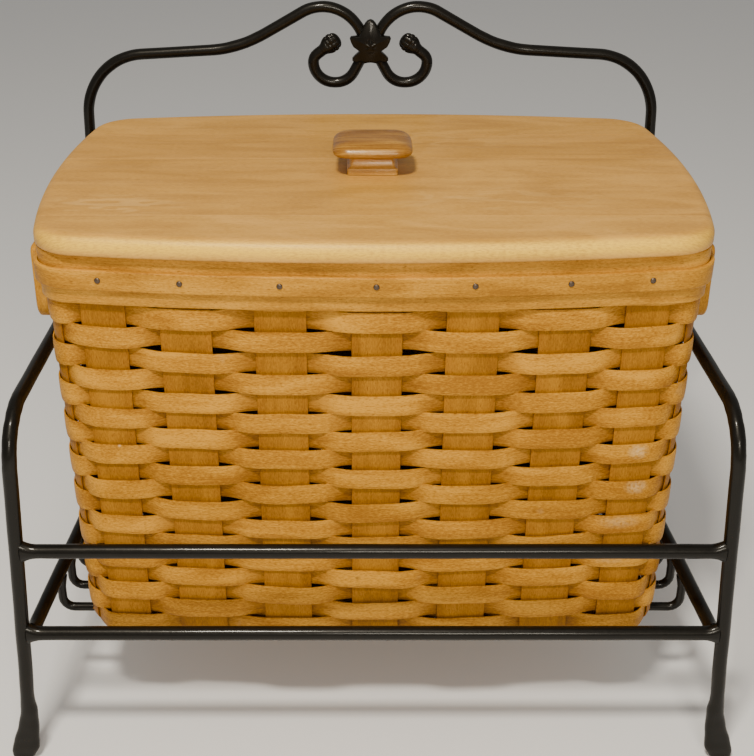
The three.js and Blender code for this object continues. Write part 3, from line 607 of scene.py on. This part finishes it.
# Places count up-splints anticlockwise from the front middle, so these starts and ends face each other
for number, width in enumerate(stake["frontWidths"]):
    sheet = stakeSheet(number - 3, 15 - number, width, 1, 1)
    addStrip(f"upright_front_back_{number + 1}", sheet, width, number, 1, () if number else ["woven_floor"])
for number in range(5):
    sheet = stakeSheet(number + 4, 20 - number, stake["sideWidth"], 0, -1)
    addStrip(f"upright_end_to_end_{number + 1}", sheet, stake["sideWidth"], number + 7, 1)
print("stage: up-splints made")

# Narrow splints fill the floor between the wide ones
filler = dict(slack=0.3, edgeGap=2.7, cornerGap=18, steps=120, shade=0.8)


# A filler runs straight along one axis between two edges, which leave it its width
def addFiller(name, axis, low, high, crossing, parity, number, shorter=0):
    centre, floor, width = (low + high) / 2, basket["floor"], high - low - filler["slack"]
    if axis == 1:
        reach = floor["halfDepth"] - floor["longBow"] * (centre / floor["halfLength"]) ** 2
    else:
        reach = floor["halfLength"] - floor["endBow"] * (centre / floor["halfDepth"]) ** 2
    reach -= filler["edgeGap"] + shorter
    run = np.linspace(-reach, reach, filler["steps"])[:, None] + (basket["middle"] if axis == 1 else 0)
    sheet = np.zeros((filler["steps"], len(stake["across"]), 3))
    sheet[..., axis] = run
    sheet[..., 1 - axis] = centre + stake["across"] * width / 2
    sheet[..., 2] = stake["floorHeight"] + floorSway(run, crossing, parity)
    addStrip(name, sheet, width, number, filler["shade"])


halfWidths = np.array(stake["frontWidths"]) / 2
lowEdges, highEdges = stripsX[::2] - halfWidths, stripsX[::2] + halfWidths
for number in range(6):
    low, high = highEdges[number], lowEdges[number + 1]
    addFiller(f"floor_filler_y_{number + 1}", 1, low, high, stripsY, -1, number + 12)
wallX = basket["floor"]["halfLength"] - filler["edgeGap"]
addFiller("floor_filler_left", 1, -wallX, lowEdges[0], stripsY, -1, 22, filler["cornerGap"])
addFiller("floor_filler_right", 1, highEdges[6], wallX, stripsY, -1, 23, filler["cornerGap"])
halfWidth = stake["sideWidth"] / 2
for number in range(4):
    low, high = stripsY[2 * number] + halfWidth, stripsY[2 * number + 2] - halfWidth
    addFiller(f"floor_filler_x_{number + 1}", 0, low, high, stripsX, 1, number + 18)
print("stage: floor made, strips at", stripsX.round(1).tolist(), stripsY.round(1).tolist())


# Rim bands and tacks

rim = dict(
    outer=dict(face=2.3, thickness=2.0, bottom=317.4, height=31.5, edge=0.75),
    tacked=dict(face=5.2, thickness=2.6, bottom=327.2, height=12.7, edge=1.0),
    inner=dict(face=-4.3, thickness=2.4, bottom=323.9, height=25.0, edge=0.75),
    perQuarter=150, wobble=(12, 0.12), grainStep=1900,
)
tack = dict(radius=1.85, height=0.9, crown=0.02, brim=0.15, shank=0.7, depth=1.0, sides=20)


# A band's section, as [offset, height] pairs: a rectangle whose corners are quarter turns
def bandSection(settings):
    outer, inner = settings["face"], settings["face"] - settings["thickness"]
    low, high = settings["bottom"], settings["bottom"] + settings["height"]
    corners = []
    for number, (x, z) in enumerate(((outer, low), (outer, high), (inner, high), (inner, low))):
        radius = settings["edge"] if x == outer else settings["edge"] / 2
        centre = [x + (radius if x == inner else -radius), z + (radius if z == low else -radius)]
        angle = (number - 1) * np.pi / 2 + np.linspace(0, np.pi / 2, 5)
        corners.append(centre + radius * np.stack([np.cos(angle), np.sin(angle)], -1))
    return np.concatenate(corners)


# The wall's outline at a height, moved outwards by an offset, as points at that height
def outlineAt(height, offset, perQuarter):
    low, high = (fullOutline(basket[foot], -offset, perQuarter) for foot in ("floor", "rim"))
    return lifted(lerp(low, high, (height - basket["bottom"]) / basket["height"]), height)


# A band: its section carried round the wall, with a slow wobble up and down
def addBand(name, number):
    section = bandSection(rim[name])
    rings = np.stack([outlineAt(height, offset, rim["perQuarter"]) for offset, height in section], 1)
    rings = np.roll(rings, 2 * rim["perQuarter"], axis=0)  # the grain's ends meet at the back
    rings[..., 2] += wander(np.arange(len(rings)) / len(rings), *rim["wobble"])[:, None]
    along = runLength(rings[:, 0]) + rim["grainStep"] * number
    addLoft(f"band_{name}", rings, "basket", bandMaple, [f"rim_{name}_band"], True, along)


for number, name in enumerate(("outer", "tacked", "inner")):
    addBand(name, number + 1)


# Rings round an axis along +Z from a list of [radius, height]
def turned(profile, sides):
    angle = np.arange(sides) * 2 * np.pi / sides
    radius, height = np.array(profile, float).T[..., None]
    return np.stack([radius * np.cos(angle), radius * np.sin(angle), height + 0 * angle], -1)


# A tack: a domed head on a short shank, turned round the band's outward direction
def addTack(cadName):
    x, _, z = nodeBox(cadName).mean(0)
    radius, shank, angle = tack["radius"], tack["shank"], np.linspace(0, np.pi / 2, 6)
    dome = zip(radius * np.cos(angle) + tack["crown"], tack["brim"] + tack["height"] * np.sin(angle))
    rings = turned([(shank, -tack["depth"]), (shank, 0), (radius, 0), *dome], tack["sides"])
    forward = -1 if "front" in cadName else 1
    band = outlineAt(z, rim["tacked"]["face"], 300)[:, :2]
    band = band[(band[:, 1] - basket["middle"]) * forward > 0]
    at = band[np.argmin(np.abs(band[:, 0] - x))]
    foot = basket["rim"]
    outwards = unit(np.array([2 * x * foot["longBow"] / foot["halfLength"] ** 2, forward]))
    sideways = np.array([-outwards[1], outwards[0]])
    flat = at + rings[..., :1] * sideways + rings[..., 2:] * outwards
    points = np.concatenate([flat, z + rings[..., 1:2]], -1)
    addLoft(cadName.replace("rim_", ""), points, "basket", dullSteel, [cadName])


for face in ("front", "back"):
    for number in range(1, 8):
        addTack(f"rim_tack_{face}_{number}")
print("stage: rim made")


# Hanging grips

grip = dict(
    length=104, drop=46.5, thickness=8.5, leg=16, bar=17, above=6, corner=14, slotRadius=8, endRound=5,
    tipRound=1.5, bevel=1.8, blockBevel=1.2, grainStep=400,
    pinTip=[(2, 52), (1.3, 52.4), (0.4, 52.5)], pinSides=20,
)
pinX, _, pinZ = nodeBox("grip_pin_right").mean(0)


# The flat outline of a grip, as front-to-back and height from the pin: eight arcs and the runs between
def gripOutline():
    half, slot, slotLow = grip["length"] / 2, grip["length"] / 2 - grip["leg"], grip["bar"] - grip["drop"]
    low, top, tip = -grip["drop"], grip["above"], grip["tipRound"]
    corner, end, inner = grip["corner"], grip["endRound"], grip["slotRadius"]
    arcs = [
        (-half + corner, low + corner, corner, 180, 270), (half - corner, low + corner, corner, 270, 360),
        (half - end, top - end, end, 0, 90), (slot + tip, top - tip, tip, 90, 180),
        (slot - inner, slotLow + inner, inner, 0, -90), (-slot + inner, slotLow + inner, inner, -90, -180),
        (-slot - tip, top - tip, tip, 0, 90), (-half + end, top - end, end, 90, 180),
    ]
    points = []
    for y, z, radius, start, stop in arcs:
        angle = np.radians(np.linspace(start, stop, 4 if radius == tip else 9))
        points.append(np.stack([y + radius * np.cos(angle), z + radius * np.sin(angle)], -1))
    return np.concatenate(points)


# Rounds the sharp edges of a piece
def bevelPiece(piece, width, segments):
    bevel = piece.modifiers.new("edges", "BEVEL")
    bevel.width = width / 1000
    bevel.segments = segments
    bevel.limit_method = "ANGLE"
    bevel.angle_limit = math.radians(50)


# A flat outline, drawn round the pin's axis and pushed through a thickness along X
def addSlab(name, outline, middleX, thickness, body, stands, bevel, number):
    rings = np.zeros((2, len(outline), 3))
    rings[..., 0] = middleX + np.array([[-0.5], [0.5]]) * thickness
    rings[..., 1:] = outline + [basket["middle"], pinZ]
    piece = addLoft(name, rings, body, bandMaple, stands)
    x, y, z = rings.reshape(-1, 3).T
    setGrain(piece.data, np.stack([z, x + y], -1) + grip["grainStep"] * number)
    bevelPiece(piece, bevel, 4)


# A grip with its pin, which runs along it, and the block on the basket that carries the pin
def addGrip(side, sign):
    x = sign * pinX
    addSlab(
        f"hanging_grip_{side}", gripOutline(), x, grip["thickness"], f"{side}_grip", [f"grip_{side}"],
        grip["bevel"], 3 + sign,
    )
    low, high = nodeBox(f"grip_block_{side}")
    half, lowZ, highZ = (high[1] - low[1]) / 2, low[2] - pinZ, high[2] - pinZ
    addSlab(
        f"pin_block_{side}", np.array([(-half, lowZ), (half, lowZ), (half, highZ), (-half, highZ)]),
        (low[0] + high[0]) / 2, high[0] - low[0], "basket", [f"grip_block_{side}"],
        grip["blockBevel"], 6 + sign,
    )
    profile = [(radius, -height) for radius, height in grip["pinTip"][::-1]] + grip["pinTip"]
    points = turned(profile, grip["pinSides"])[..., [0, 2, 1]] + [x, basket["middle"], pinZ]
    addLoft(f"hinge_pin_{side}", points, "basket", dullSteel, [f"grip_pin_{side}"])


addGrip("left", -1)
addGrip("right", 1)
print("stage: grips made")


# Lid

lid = dict(
    bottom=349.2, thickness=12.7, topRound=7.2, bottomRound=1.6, underRim=3.2, joints=[-90.5, 22.5, 78.5],
    perQuarter=130, shades=[1, 0.75, 0.5, 0.8], jointGap=0.13, jointEdge=0.12, grainStep=(700, 310),
    # Where the painted highlight lies: towards the front, and down the rounding of the edge
    highlightFront=([-136, -112], [1, 0.15]), highlightDepth=([0.5, 2.6, 7.3, 10.5], [0, 1, 0.9, 0]),
    foot=dict(halfLength=211.5, halfDepth=138, endBow=16, longBow=17.5, corner=32),
)


# The lid's edge from under to over, as [inset, height]: two quarter turns and the flats beside them
def lidSection():
    under, over, top = lid["bottomRound"], lid["topRound"], lid["thickness"]
    low, high = np.linspace(0, np.pi / 2, 5), np.linspace(0, np.pi / 2, 9)
    return [
        (lid["underRim"], 0), *zip(under * (1 - np.sin(low)), under * (1 - np.cos(low))),
        *zip(over * (1 - np.cos(high)), top - over + over * np.sin(high)), (over + 0.8, top), (over + 9, top),
    ]


# Each board is the whole lid cut along its two joints and closed again
def addBoard(number, front, back):
    foot, perQuarter, low = lid["foot"], lid["perQuarter"], lid["bottom"]
    rings = np.stack([
        lifted(fullOutline(foot, inset, perQuarter), low + height) for inset, height in lidSection()
    ])
    count, corners = rings.shape[:2]
    faces, _ = loftFaces(count, corners, False, np.zeros(count), np.zeros(corners + 1))
    whole = bpy.data.meshes.new(f"board_{number}")
    whole.from_pydata((rings.reshape(-1, 3) / 1000).tolist(), [], faces.tolist() + endCaps(count, corners))
    cutter = bmesh.new()
    cutter.from_mesh(whole)
    for y, direction in ((front, -1), (back, 1)):
        if y is None:
            continue
        cut = bmesh.ops.bisect_plane(
            cutter, geom=[*cutter.verts, *cutter.edges, *cutter.faces], clear_outer=True,
            plane_co=(0, (y - lid["jointGap"] * direction + basket["middle"]) / 1000, 0),
            plane_no=(0, direction, 0),
        )
        edges = [item for item in cut["geom_cut"] if isinstance(item, bmesh.types.BMEdge)]
        bmesh.ops.edgeloop_fill(cutter, edges=edges)
    bmesh.ops.recalc_face_normals(cutter, faces=cutter.faces)
    cutter.to_mesh(whole)
    cutter.free()
    points = np.zeros(len(whole.vertices) * 3)
    whole.vertices.foreach_get("co", points)
    x, y, z = points.reshape(-1, 3).T * 1000
    depth = lid["bottom"] + lid["thickness"] - z
    setValues(whole, "shade", np.full(len(x), lid["shades"][number - 1]))
    # Painted highlight on the front rounding of the edge, strongest at the very front
    setValues(whole, "paintedHighlight", np.interp(y, *lid["highlightFront"]) * np.interp(depth, *lid["highlightDepth"]))
    whole.uv_layers.new(name="grain")
    setGrain(whole, np.stack([x, y - depth], -1) + np.array(lid["grainStep"]) * number)
    piece = addPiece(f"board_{number}", whole, "lid", lidMaple, [f"lid_board_{number}"], 35)
    bevelPiece(piece, lid["jointEdge"], 2)


joints = [None, *lid["joints"], None]
for number in range(4):
    addBoard(number + 1, joints[number], joints[number + 1])

# Battens and the screw are plain solids under the lid, so they keep their CAD meshes
plainMaple = dict(
    mapleTones, roughness=0.5, fleckColour=(0.34, 0.19, 0.08),
    tones=[(0.36, (0.44, 0.27, 0.12)), (0.5, (0.53, 0.34, 0.16)), (0.64, (0.6, 0.4, 0.2))],
)
for name in ("lid_batten_left", "lid_batten_right", "knob_screw"):
    finish = dullSteel if name == "knob_screw" else woodMaterial(f"{name}_maple", plainMaple)
    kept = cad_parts[name]
    kept.data.materials.clear()
    kept.data.materials.append(finish)

knob = dict(
    bottom=362.2, sides=30, length=52.3, depth=46.3, bow=1, corner=11, forward=1.7, capFrom=12, capOver=1.2,
    section=[
        (9.4, 0), (9.4, 3.6), (9.6, 4.0), (10.1, 4.25), (10.7, 4.5), (11.3, 5.2), (12, 6.4), (12.5, 7.9),
        (12.9, 9.6), (13, 11), (12.5, 12.1), (10.5, 12.7), (6, 13), (2.6, 13.2), (1.1, 13.6), (0.3, 14.5),
        (0, 15.6), (0.1, 16.8), (0.7, 18.1), (2.0, 19.5), (4.2, 20.9), (7.6, 22), (12, 22.6), (16, 22.8),
    ],
)


# The knob: a rounded rectangle drawn in by its section's inset at each height
def addKnob():
    rings = []
    for inset, height in knob["section"]:
        foot = dict(
            halfLength=knob["length"] / 2, halfDepth=knob["depth"] / 2, endBow=knob["bow"],
            longBow=knob["bow"], corner=max(knob["corner"], inset + 1),
        )
        flat = fullOutline(foot, inset, knob["sides"]) - [0, knob["forward"]]
        rings.append(lifted(flat, knob["bottom"] + height))
    rings = np.stack(rings)
    # Painted shade and light: the cap is darkened by the knob's shade colour, and the stem keeps lighter
    # tones that stand in for light under the cap
    capShare = np.clip((rings[..., 2] - knob["bottom"] - knob["capFrom"]) / knob["capOver"], 0, 1)
    piece = addLoft("knob_turned", rings, "lid", knobMaple, ["knob"], shade=1 - capShare)
    x, y, z = rings.reshape(-1, 3).T
    setGrain(piece.data, np.stack([x, y * 0.5 + z], -1))


addKnob()
print("stage: lid made")


# Iron stand

iron = dict(
    legBar=9.4, postBar=8.8, railBar=9.4, cradleBar=6.2, legPlane=-168.5, postPlane=168.5,
    legFloor=460.4, legArm=433, armHeight=259.5, armBack=248, armRadius=32,
    postFloor=466, postShoulder=439.2, shoulder=395, shoulderRise=6.7, shoulderRadius=48,
    riseStart=101, riseRadius=97, slope=0.56, crestRadius=31.8, crest=432.5, parting=398, partingRadius=12,
    scrollIn=16.9, scrollOut=43.8, scrollRadius=15.6, scrollLow=374.8, curl=394.3, curlRadius=8,
    endX=36.3, endZ=400.1, ring=104.4, upper=167.6, sides=20, marks=26,
)


# Half the distance between the two legs, or the two posts, which changes evenly with height
def legX(height):
    return lerp(iron["legFloor"], iron["legArm"], height / iron["armHeight"]) / 2


def postX(height):
    return lerp(iron["postFloor"], iron["postShoulder"], height / iron["shoulder"]) / 2


# Points evenly spaced from one point to another, without the first
def straight(start, end, step):
    count = max(2, int(np.linalg.norm(end - start) / step))
    return [lerp(start, end, share) for share in np.arange(1, count + 1) / count]


# A centre line through corners of (x, y, z, radius): straight runs and round bends, in short steps.
# A bend turns its two tangent points about its centre by shares of the angle between them.
def route(corners, step=10):
    at = [np.array(corner[:3], float) for corner in corners]
    line = at[:1]
    for place in range(1, len(corners) - 1):
        radius = corners[place][3]
        back, ahead = unit(line[-1] - at[place]), unit(at[place + 1] - at[place])
        half = (math.pi - math.acos(np.clip(back @ ahead, -1, 1))) / 2
        start, end = (at[place] + way * radius * math.tan(half) for way in (back, ahead))
        centre = at[place] + unit(back + ahead) * radius / math.cos(half)
        line += straight(line[-1], start, step)
        count = max(4, int(2 * half * radius / 2.2))
        share = np.arange(1, count + 1)[:, None] / count
        fade, grow = np.sin((1 - share) * 2 * half), np.sin(share * 2 * half)
        line += list(centre + (fade * (start - centre) + grow * (end - centre)) / math.sin(2 * half))
    return np.array(line + straight(line[-1], at[-1], step))


# Rings of a tube along a line, each turned as little as possible from the one before
def tubeRings(line, radius, sides, axis=(0, 1, 0)):
    angle = (np.arange(sides) * 2 * np.pi / sides)[:, None]
    rings = []
    for point, ahead, reach in zip(line, unit(np.gradient(line, axis=0)), np.broadcast_to(radius, len(line))):
        axis = unit(axis - ahead * np.dot(axis, ahead))
        rings.append(point + reach * (np.cos(angle) * axis + np.sin(angle) * np.cross(ahead, axis)))
    return np.array(rings)


# Shallow hammer marks: four slow waves round the bar press each ring in where they dip
def hammered(rings, size):
    count, sides = rings.shape[:2]
    press = np.stack([wander(np.arange(count) / count, iron["marks"], size) for _ in range(4)], 1)
    angle = np.arange(sides) * 4 / sides
    low = np.floor(angle).astype(int)
    mixed = lerp(press[:, low], press[:, (low + 1) % 4], angle - low)
    return rings + unit(rings - rings.mean(1, keepdims=True)) * np.minimum(mixed - size, 0)[..., None]


def addIron(name, rings, cadName):
    addLoft(name, rings, "stand", blackIron, [cadName])


foot = dict(
    neck=52, thickness=6.5, steps=26, soleRound=2.2,
    inner=[[-7.4, 52], [-8.3, 42], [-7.9, 25], [-6.2, 9], [-2.6, 2.4], [1.6, 0]],
    outer=[[2.1, 52], [3.4, 40], [6.9, 26], [10.3, 16], [12.9, 6.5], [12.4, 1.8], [8.6, 0]],
)


# Rings of a foot from the sole up: each is a rounded rectangle between the inner and outer edge
def footRings(barX, plane, bar):
    heights = foot["neck"] * (1 - np.cos(np.linspace(0, np.pi / 2, foot["steps"])[:-1]))
    inner, outer = (np.interp(heights, *np.array(foot[edge])[::-1, ::-1].T) for edge in ("inner", "outer"))
    share = heights / foot["neck"]
    soleShare = np.sqrt(np.clip(heights / foot["soleRound"], 0, 1))
    halfDepth = lerp(foot["thickness"], bar, share ** 1.5) / 2 * (soleShare * 0.6 + 0.4)
    power = lerp(0.62, 1.0, share)[:, None]
    angle = np.arange(iron["sides"]) * 2 * np.pi / iron["sides"]
    across, deep = (np.sign(wave) * np.abs(wave) ** power for wave in (np.sin(angle), np.cos(angle)))
    rings = np.zeros((len(heights), iron["sides"], 3))
    rings[..., 0] = (barX(0) + (inner + outer) / 2)[:, None] - ((outer - inner) / 2)[:, None] * across
    rings[..., 1] = plane + halfDepth[:, None] * deep
    rings[..., 2] = heights[:, None]
    return rings


# A foot and a bar along its route as one piece, then its mirror image
def addUpright(name, corners, barX, plane, bar, cadName):
    rings = np.concatenate([footRings(barX, plane, bar), tubeRings(route(corners), bar / 2, iron["sides"])])
    rings = hammered(rings, 0.12)
    for side, sign in (("right", 1), ("left", -1)):
        addIron(f"{name}_{side}", rings * [sign, 1, 1], f"{cadName}_{side}")


neck, front, back = foot["neck"] + 3, iron["legPlane"], iron["postPlane"]
armEnd = postX(iron["armBack"]) - (iron["legBar"] + iron["postBar"]) / 2 - 0.1
addUpright("leg_and_arm", [
    (legX(neck), front, neck, 0),
    (legX(iron["armHeight"]), front, iron["armHeight"], iron["armRadius"]),
    (armEnd, back + 2, iron["armBack"], 0),
], legX, front, iron["legBar"], "front_leg")

touchX = (iron["postBar"] + 0.2) / 2
crestCentre = iron["crest"] - iron["crestRadius"]
crestCorner = crestCentre + iron["crestRadius"] * (math.hypot(1, iron["slope"]) + iron["slope"])
rise = crestCorner - iron["slope"] * (iron["riseStart"] - touchX)
addUpright("post_and_scroll", [
    (postX(neck), back, neck, 0),
    (postX(iron["shoulder"]), back, rise - iron["shoulderRise"], iron["shoulderRadius"]),
    (iron["riseStart"], back, rise, iron["riseRadius"]),
    (touchX, back, crestCorner, iron["crestRadius"]),
    (touchX, back, iron["parting"], iron["partingRadius"]),
    (iron["scrollIn"], back, iron["scrollLow"], iron["scrollRadius"]),
    (iron["scrollOut"], back, iron["scrollLow"], iron["scrollRadius"]),
    (iron["scrollOut"], back, iron["curl"], iron["curlRadius"]),
    (iron["endX"], back, iron["endZ"], 0),
], postX, back, iron["postBar"], "back_post")
print("stage: legs and posts made")

rail = dict(weldLength=9.0, weldHeight=8.2, sideWeld=6.6, intoBar=3.2, sideFrontIn=5.7, sideBackOut=1.2)


# A straight rail: a tube whose ends swell upwards and downwards into small welds
def addRail(name, start, end, cadName, weldHeight=rail["weldHeight"]):
    radius, weld, run = iron["railBar"] / 2, rail["weldLength"], np.subtract(end, start)
    length = np.linalg.norm(run)
    ends = np.array([0, 0.12, 0.3, 0.5, 0.75, 1.0]) * weld
    stops = np.concatenate([ends, np.linspace(weld * 1.3, length - weld * 1.3, 40), length - ends[::-1]])
    line = start + run * (stops / length)[:, None]
    near = np.clip(np.minimum(stops, length - stops) / weld, 0, 1)
    rings = tubeRings(line, radius, iron["sides"], (0, 0, 1))
    taller = 1 + (weldHeight / radius - 1) * (1 - near) ** 1.8
    rings[..., 2] = lerp(line[:, None, 2], rings[..., 2], taller[:, None])
    addIron(name, hammered(rings, 0.07), cadName)


for name, cadName, barX, plane, height in (
    ("rail_front_upper", "upper_front_rail", legX, front, iron["upper"]),
    ("rail_front_lower", "lower_front_rail", legX, front, iron["ring"]),
    ("rail_back_lower", "lower_back_rail", postX, back, iron["ring"]),
):
    reach = barX(height) - rail["intoBar"]
    addRail(name, (-reach, plane, height), (reach, plane, height), cadName)


# The side rails run from inside the front legs to just outside the basket's floor
def sideX(y):
    frontX = legX(iron["ring"]) - rail["sideFrontIn"]
    return lerp(frontX, basket["floor"]["halfLength"] + rail["sideBackOut"], (y - front) / (back - front))


for side, sign in (("left", -1), ("right", 1)):
    ends = [(sign * sideX(y), y, iron["ring"]) for y in (front + 2, back - 2)]
    addRail(f"rail_{side}", *ends, f"side_rail_{side}", rail["sideWeld"])

cradle = dict(
    count=9, first=66.9, pitch=25.4, drop=29.2, radius=8, topGap=3.4, weld=1.6, weldLength=5,
    step=7.5, sides=16,
)


# A cradle bar: a U of round bar that swells where it meets the side rails
def addCradleBar(number):
    y = front + cradle["first"] + number * cradle["pitch"]
    x, radius = sideX(y), cradle["radius"]
    low, top = iron["ring"] - cradle["drop"], iron["ring"] - cradle["topGap"]
    corners = [(-x, y, top, 0), (-x, y, low, radius), (x, y, low, radius), (x, y, top, 0)]
    line = route(corners, cradle["step"])
    weldShare = np.clip(1 - (top - line[:, 2]) / cradle["weldLength"], 0, 1) ** 1.5
    rings = tubeRings(line, iron["cradleBar"] / 2 + cradle["weld"] * weldShare, cradle["sides"])
    addIron(f"cradle_rod_{number + 1}", hammered(rings, 0.05), f"cradle_bar_{number + 1}")


for number in range(cradle["count"]):
    addCradleBar(number)
print("stage: rails and cradle made")


# Ornaments

leaf = dict(
    halfWidth=15.7, halfHeight=16.7, centre=407.1, middle=404.2, dome=3.0, edgeThickness=1.5, steps=9,
    rings=16, body=(9.5, 15), highest=6.2, veins=[90, 22, -38, -142, 158], veinWidth=9,
    edge=[
        [0, 1], [0.14, 0.95], [0.24, 0.85], [0.33, 0.7], [0.41, 0.52], [0.53, 0.27], [0.75, 0.25],
        [0.95, 0.23], [1, 0.14], [0.94, -0.04], [0.83, -0.24], [0.64, -0.37], [0.54, -0.43], [0.64, -0.52],
        [0.77, -0.63], [0.88, -0.75], [0.88, -0.86], [0.74, -0.95], [0.5, -0.91], [0.31, -1],
        [0.12, -0.96], [0, -0.95],
    ],
)


# The leaf's face: rings that shrink from its edge to its middle, raised as a dome with ridged veins
def addLeaf():
    right = np.array(leaf["edge"]) * [leaf["halfWidth"], leaf["halfHeight"]]
    edge = np.concatenate([right, right[-2:0:-1] * [-1, 1]])
    share = np.arange(leaf["steps"]) / leaf["steps"]
    edge = lerp(edge[:, None], np.roll(edge, -1, 0)[:, None], share[None, :, None]).reshape(-1, 2)
    middle = np.array([0, leaf["middle"] - leaf["centre"]])
    spoke = edge - middle
    angle = np.degrees(np.arctan2(spoke[:, 1], spoke[:, 0]))[:, None]
    off = np.abs((angle - leaf["veins"] + 180) % 360 - 180).min(1)
    vein = np.exp(-(off / leaf["veinWidth"]) ** 2)
    thick = leaf["edgeThickness"]

    def ring(part, depth):
        x, z = (middle + spoke * part).T
        return np.stack([x, back - iron["postBar"] / 2 - 0.2 - depth + 0 * x, leaf["centre"] + z], -1)

    rings = [ring(*step) for step in ((0.97, -2.6), (1, -2.4), (1, thick * 0.5), (0.985, thick * 0.85))]
    for part in np.linspace(0.96, 0.02, leaf["rings"]):
        far = np.hypot(*(spoke * part / leaf["body"]).T)
        dome = leaf["dome"] * np.exp(-0.9 * far ** 3) * min(1, (1 - part) / 0.08) ** 0.5
        ridge = 0.16 * (vein - 0.3) * math.sin(math.pi * min(1, part * 1.15)) ** 0.7
        boss = 0.5 * math.exp(-((part - 0.08) / 0.12) ** 2) - 0.15 * math.exp(-((part - 0.26) / 0.08) ** 2)
        rings.append(ring(part, np.minimum(thick + dome + ridge + boss, leaf["highest"])))
    addIron("leaf_boss", np.array(rings), "leaf_ornament")


bud = dict(
    side=[
        (0.5, -3), (3.6, -2.2), (4.35, -0.8), (4.7, 0.6), (5.6, 2.2), (6.6, 4), (7.2, 6), (7.5, 8),
        (7.3, 10), (6.7, 12), (5.4, 13.8), (3.6, 14.9), (1.8, 15.4), (0.2, 15.5),
    ],
    flatness=0.67, ridges=7, ridgeDepth=0.15, groove=0.08, steps=4, sides=56,
)


# A bud: a swelling turned about the bar's own direction, cut by grooves along and across
def addBud(side, sign):
    count = len(bud["side"])
    dense = np.linspace(0, count - 1, (count - 1) * bud["steps"] + 1)
    radius, along = (np.interp(dense, np.arange(count), column)[:, None] for column in zip(*bud["side"]))
    around = np.arange(bud["sides"]) * 2 * np.pi / bud["sides"]
    full = np.clip((along - 2.5) / 5, 0, 1)
    ridges = np.abs(np.sin(bud["ridges"] / 2 * around + 0.25 * along / 3)) ** 0.6
    grooves = np.exp(-((along - 7.5) / 0.55) ** 2) + np.exp(-((along - 11.2) / 0.5) ** 2)
    reach = radius * (1 - bud["ridgeDepth"] * full * (1 - ridges) - bud["groove"] * grooves)
    x, z = unit(np.array([iron["endX"] - iron["scrollOut"], iron["endZ"] - iron["curl"]]))
    flat = lerp(1, bud["flatness"], np.clip(along / 5, 0, 1))
    aside, forward = reach * np.cos(around), reach * flat * np.sin(around)
    points = np.stack([
        sign * (iron["endX"] + along * x - aside * z), back - forward, iron["endZ"] + along * z + aside * x,
    ], -1)
    addIron(f"bud_{side}", points, f"scroll_bud_{side}")


addLeaf()
addBud("left", -1)
addBud("right", 1)
print("stage: ornaments made")


# Studio: a pale floor, soft light and the photo's point of view

studio = dict(
    halfFloor=40, floorWhite=(0.92, 0.92, 0.92), skyColour=(1, 0.97, 0.92), skyStrength=0.3,
    lampColour=(1, 0.93, 0.8), lampTarget=(0, 0, 0.3),
)
view = dict(focal=1300, size=756, height=629, distance=837.5, aside=-9.6, pitch=27, centre=357.8)


def addStudio():
    mesh, half = bpy.data.meshes.new("studio_floor"), studio["halfFloor"]
    corners = [(-half, -half, 0), (half, -half, 0), (half, half, 0), (-half, half, 0)]
    mesh.from_pydata(corners, [], [(0, 1, 2, 3)])
    material, _, _ = startMaterial("studio_white", {"Roughness": 0.8, "Base Color": studio["floorWhite"]})
    mesh.materials.append(material)
    newObject("studio_floor", mesh)
    world = bpy.data.worlds.new("studio_world")
    bpy.context.scene.world = world
    world.use_nodes = True
    background = world.node_tree.nodes["Background"]
    fill(world.node_tree, background, {"Color": studio["skyColour"], "Strength": studio["skyStrength"]})


def addLamp(name, place, size, power):
    data = bpy.data.lights.new(name, "AREA")
    data.shape = "RECTANGLE"
    data.size, data.size_y = size
    data.energy = power
    data.color = studio["lampColour"]
    lamp = newObject(name, data)
    lamp.location = place
    lamp.rotation_euler = (Vector(studio["lampTarget"]) - Vector(place)).to_track_quat("-Z", "Y").to_euler()


def addCamera():
    data = bpy.data.cameras.new("camera")
    camera = newObject("camera", data)
    data.sensor_width = 36
    data.lens = view["focal"] / view["size"] * data.sensor_width
    data.shift_x = (view["size"] / 2 - 1 - view["centre"]) / view["size"]
    data.clip_start = 0.05
    camera.location = (view["aside"] / 1000, -view["distance"] / 1000, view["height"] / 1000)
    camera.rotation_euler = (math.radians(90 - view["pitch"]), 0, 0)
    bpy.context.scene.camera = camera


addStudio()
addLamp("lamp_above", (-0.22, -0.85, 1.6), (0.22, 0.16), 25)
addLamp("lamp_front", (0.2, -1.9, 1.1), (0.5, 0.4), 15)
addCamera()
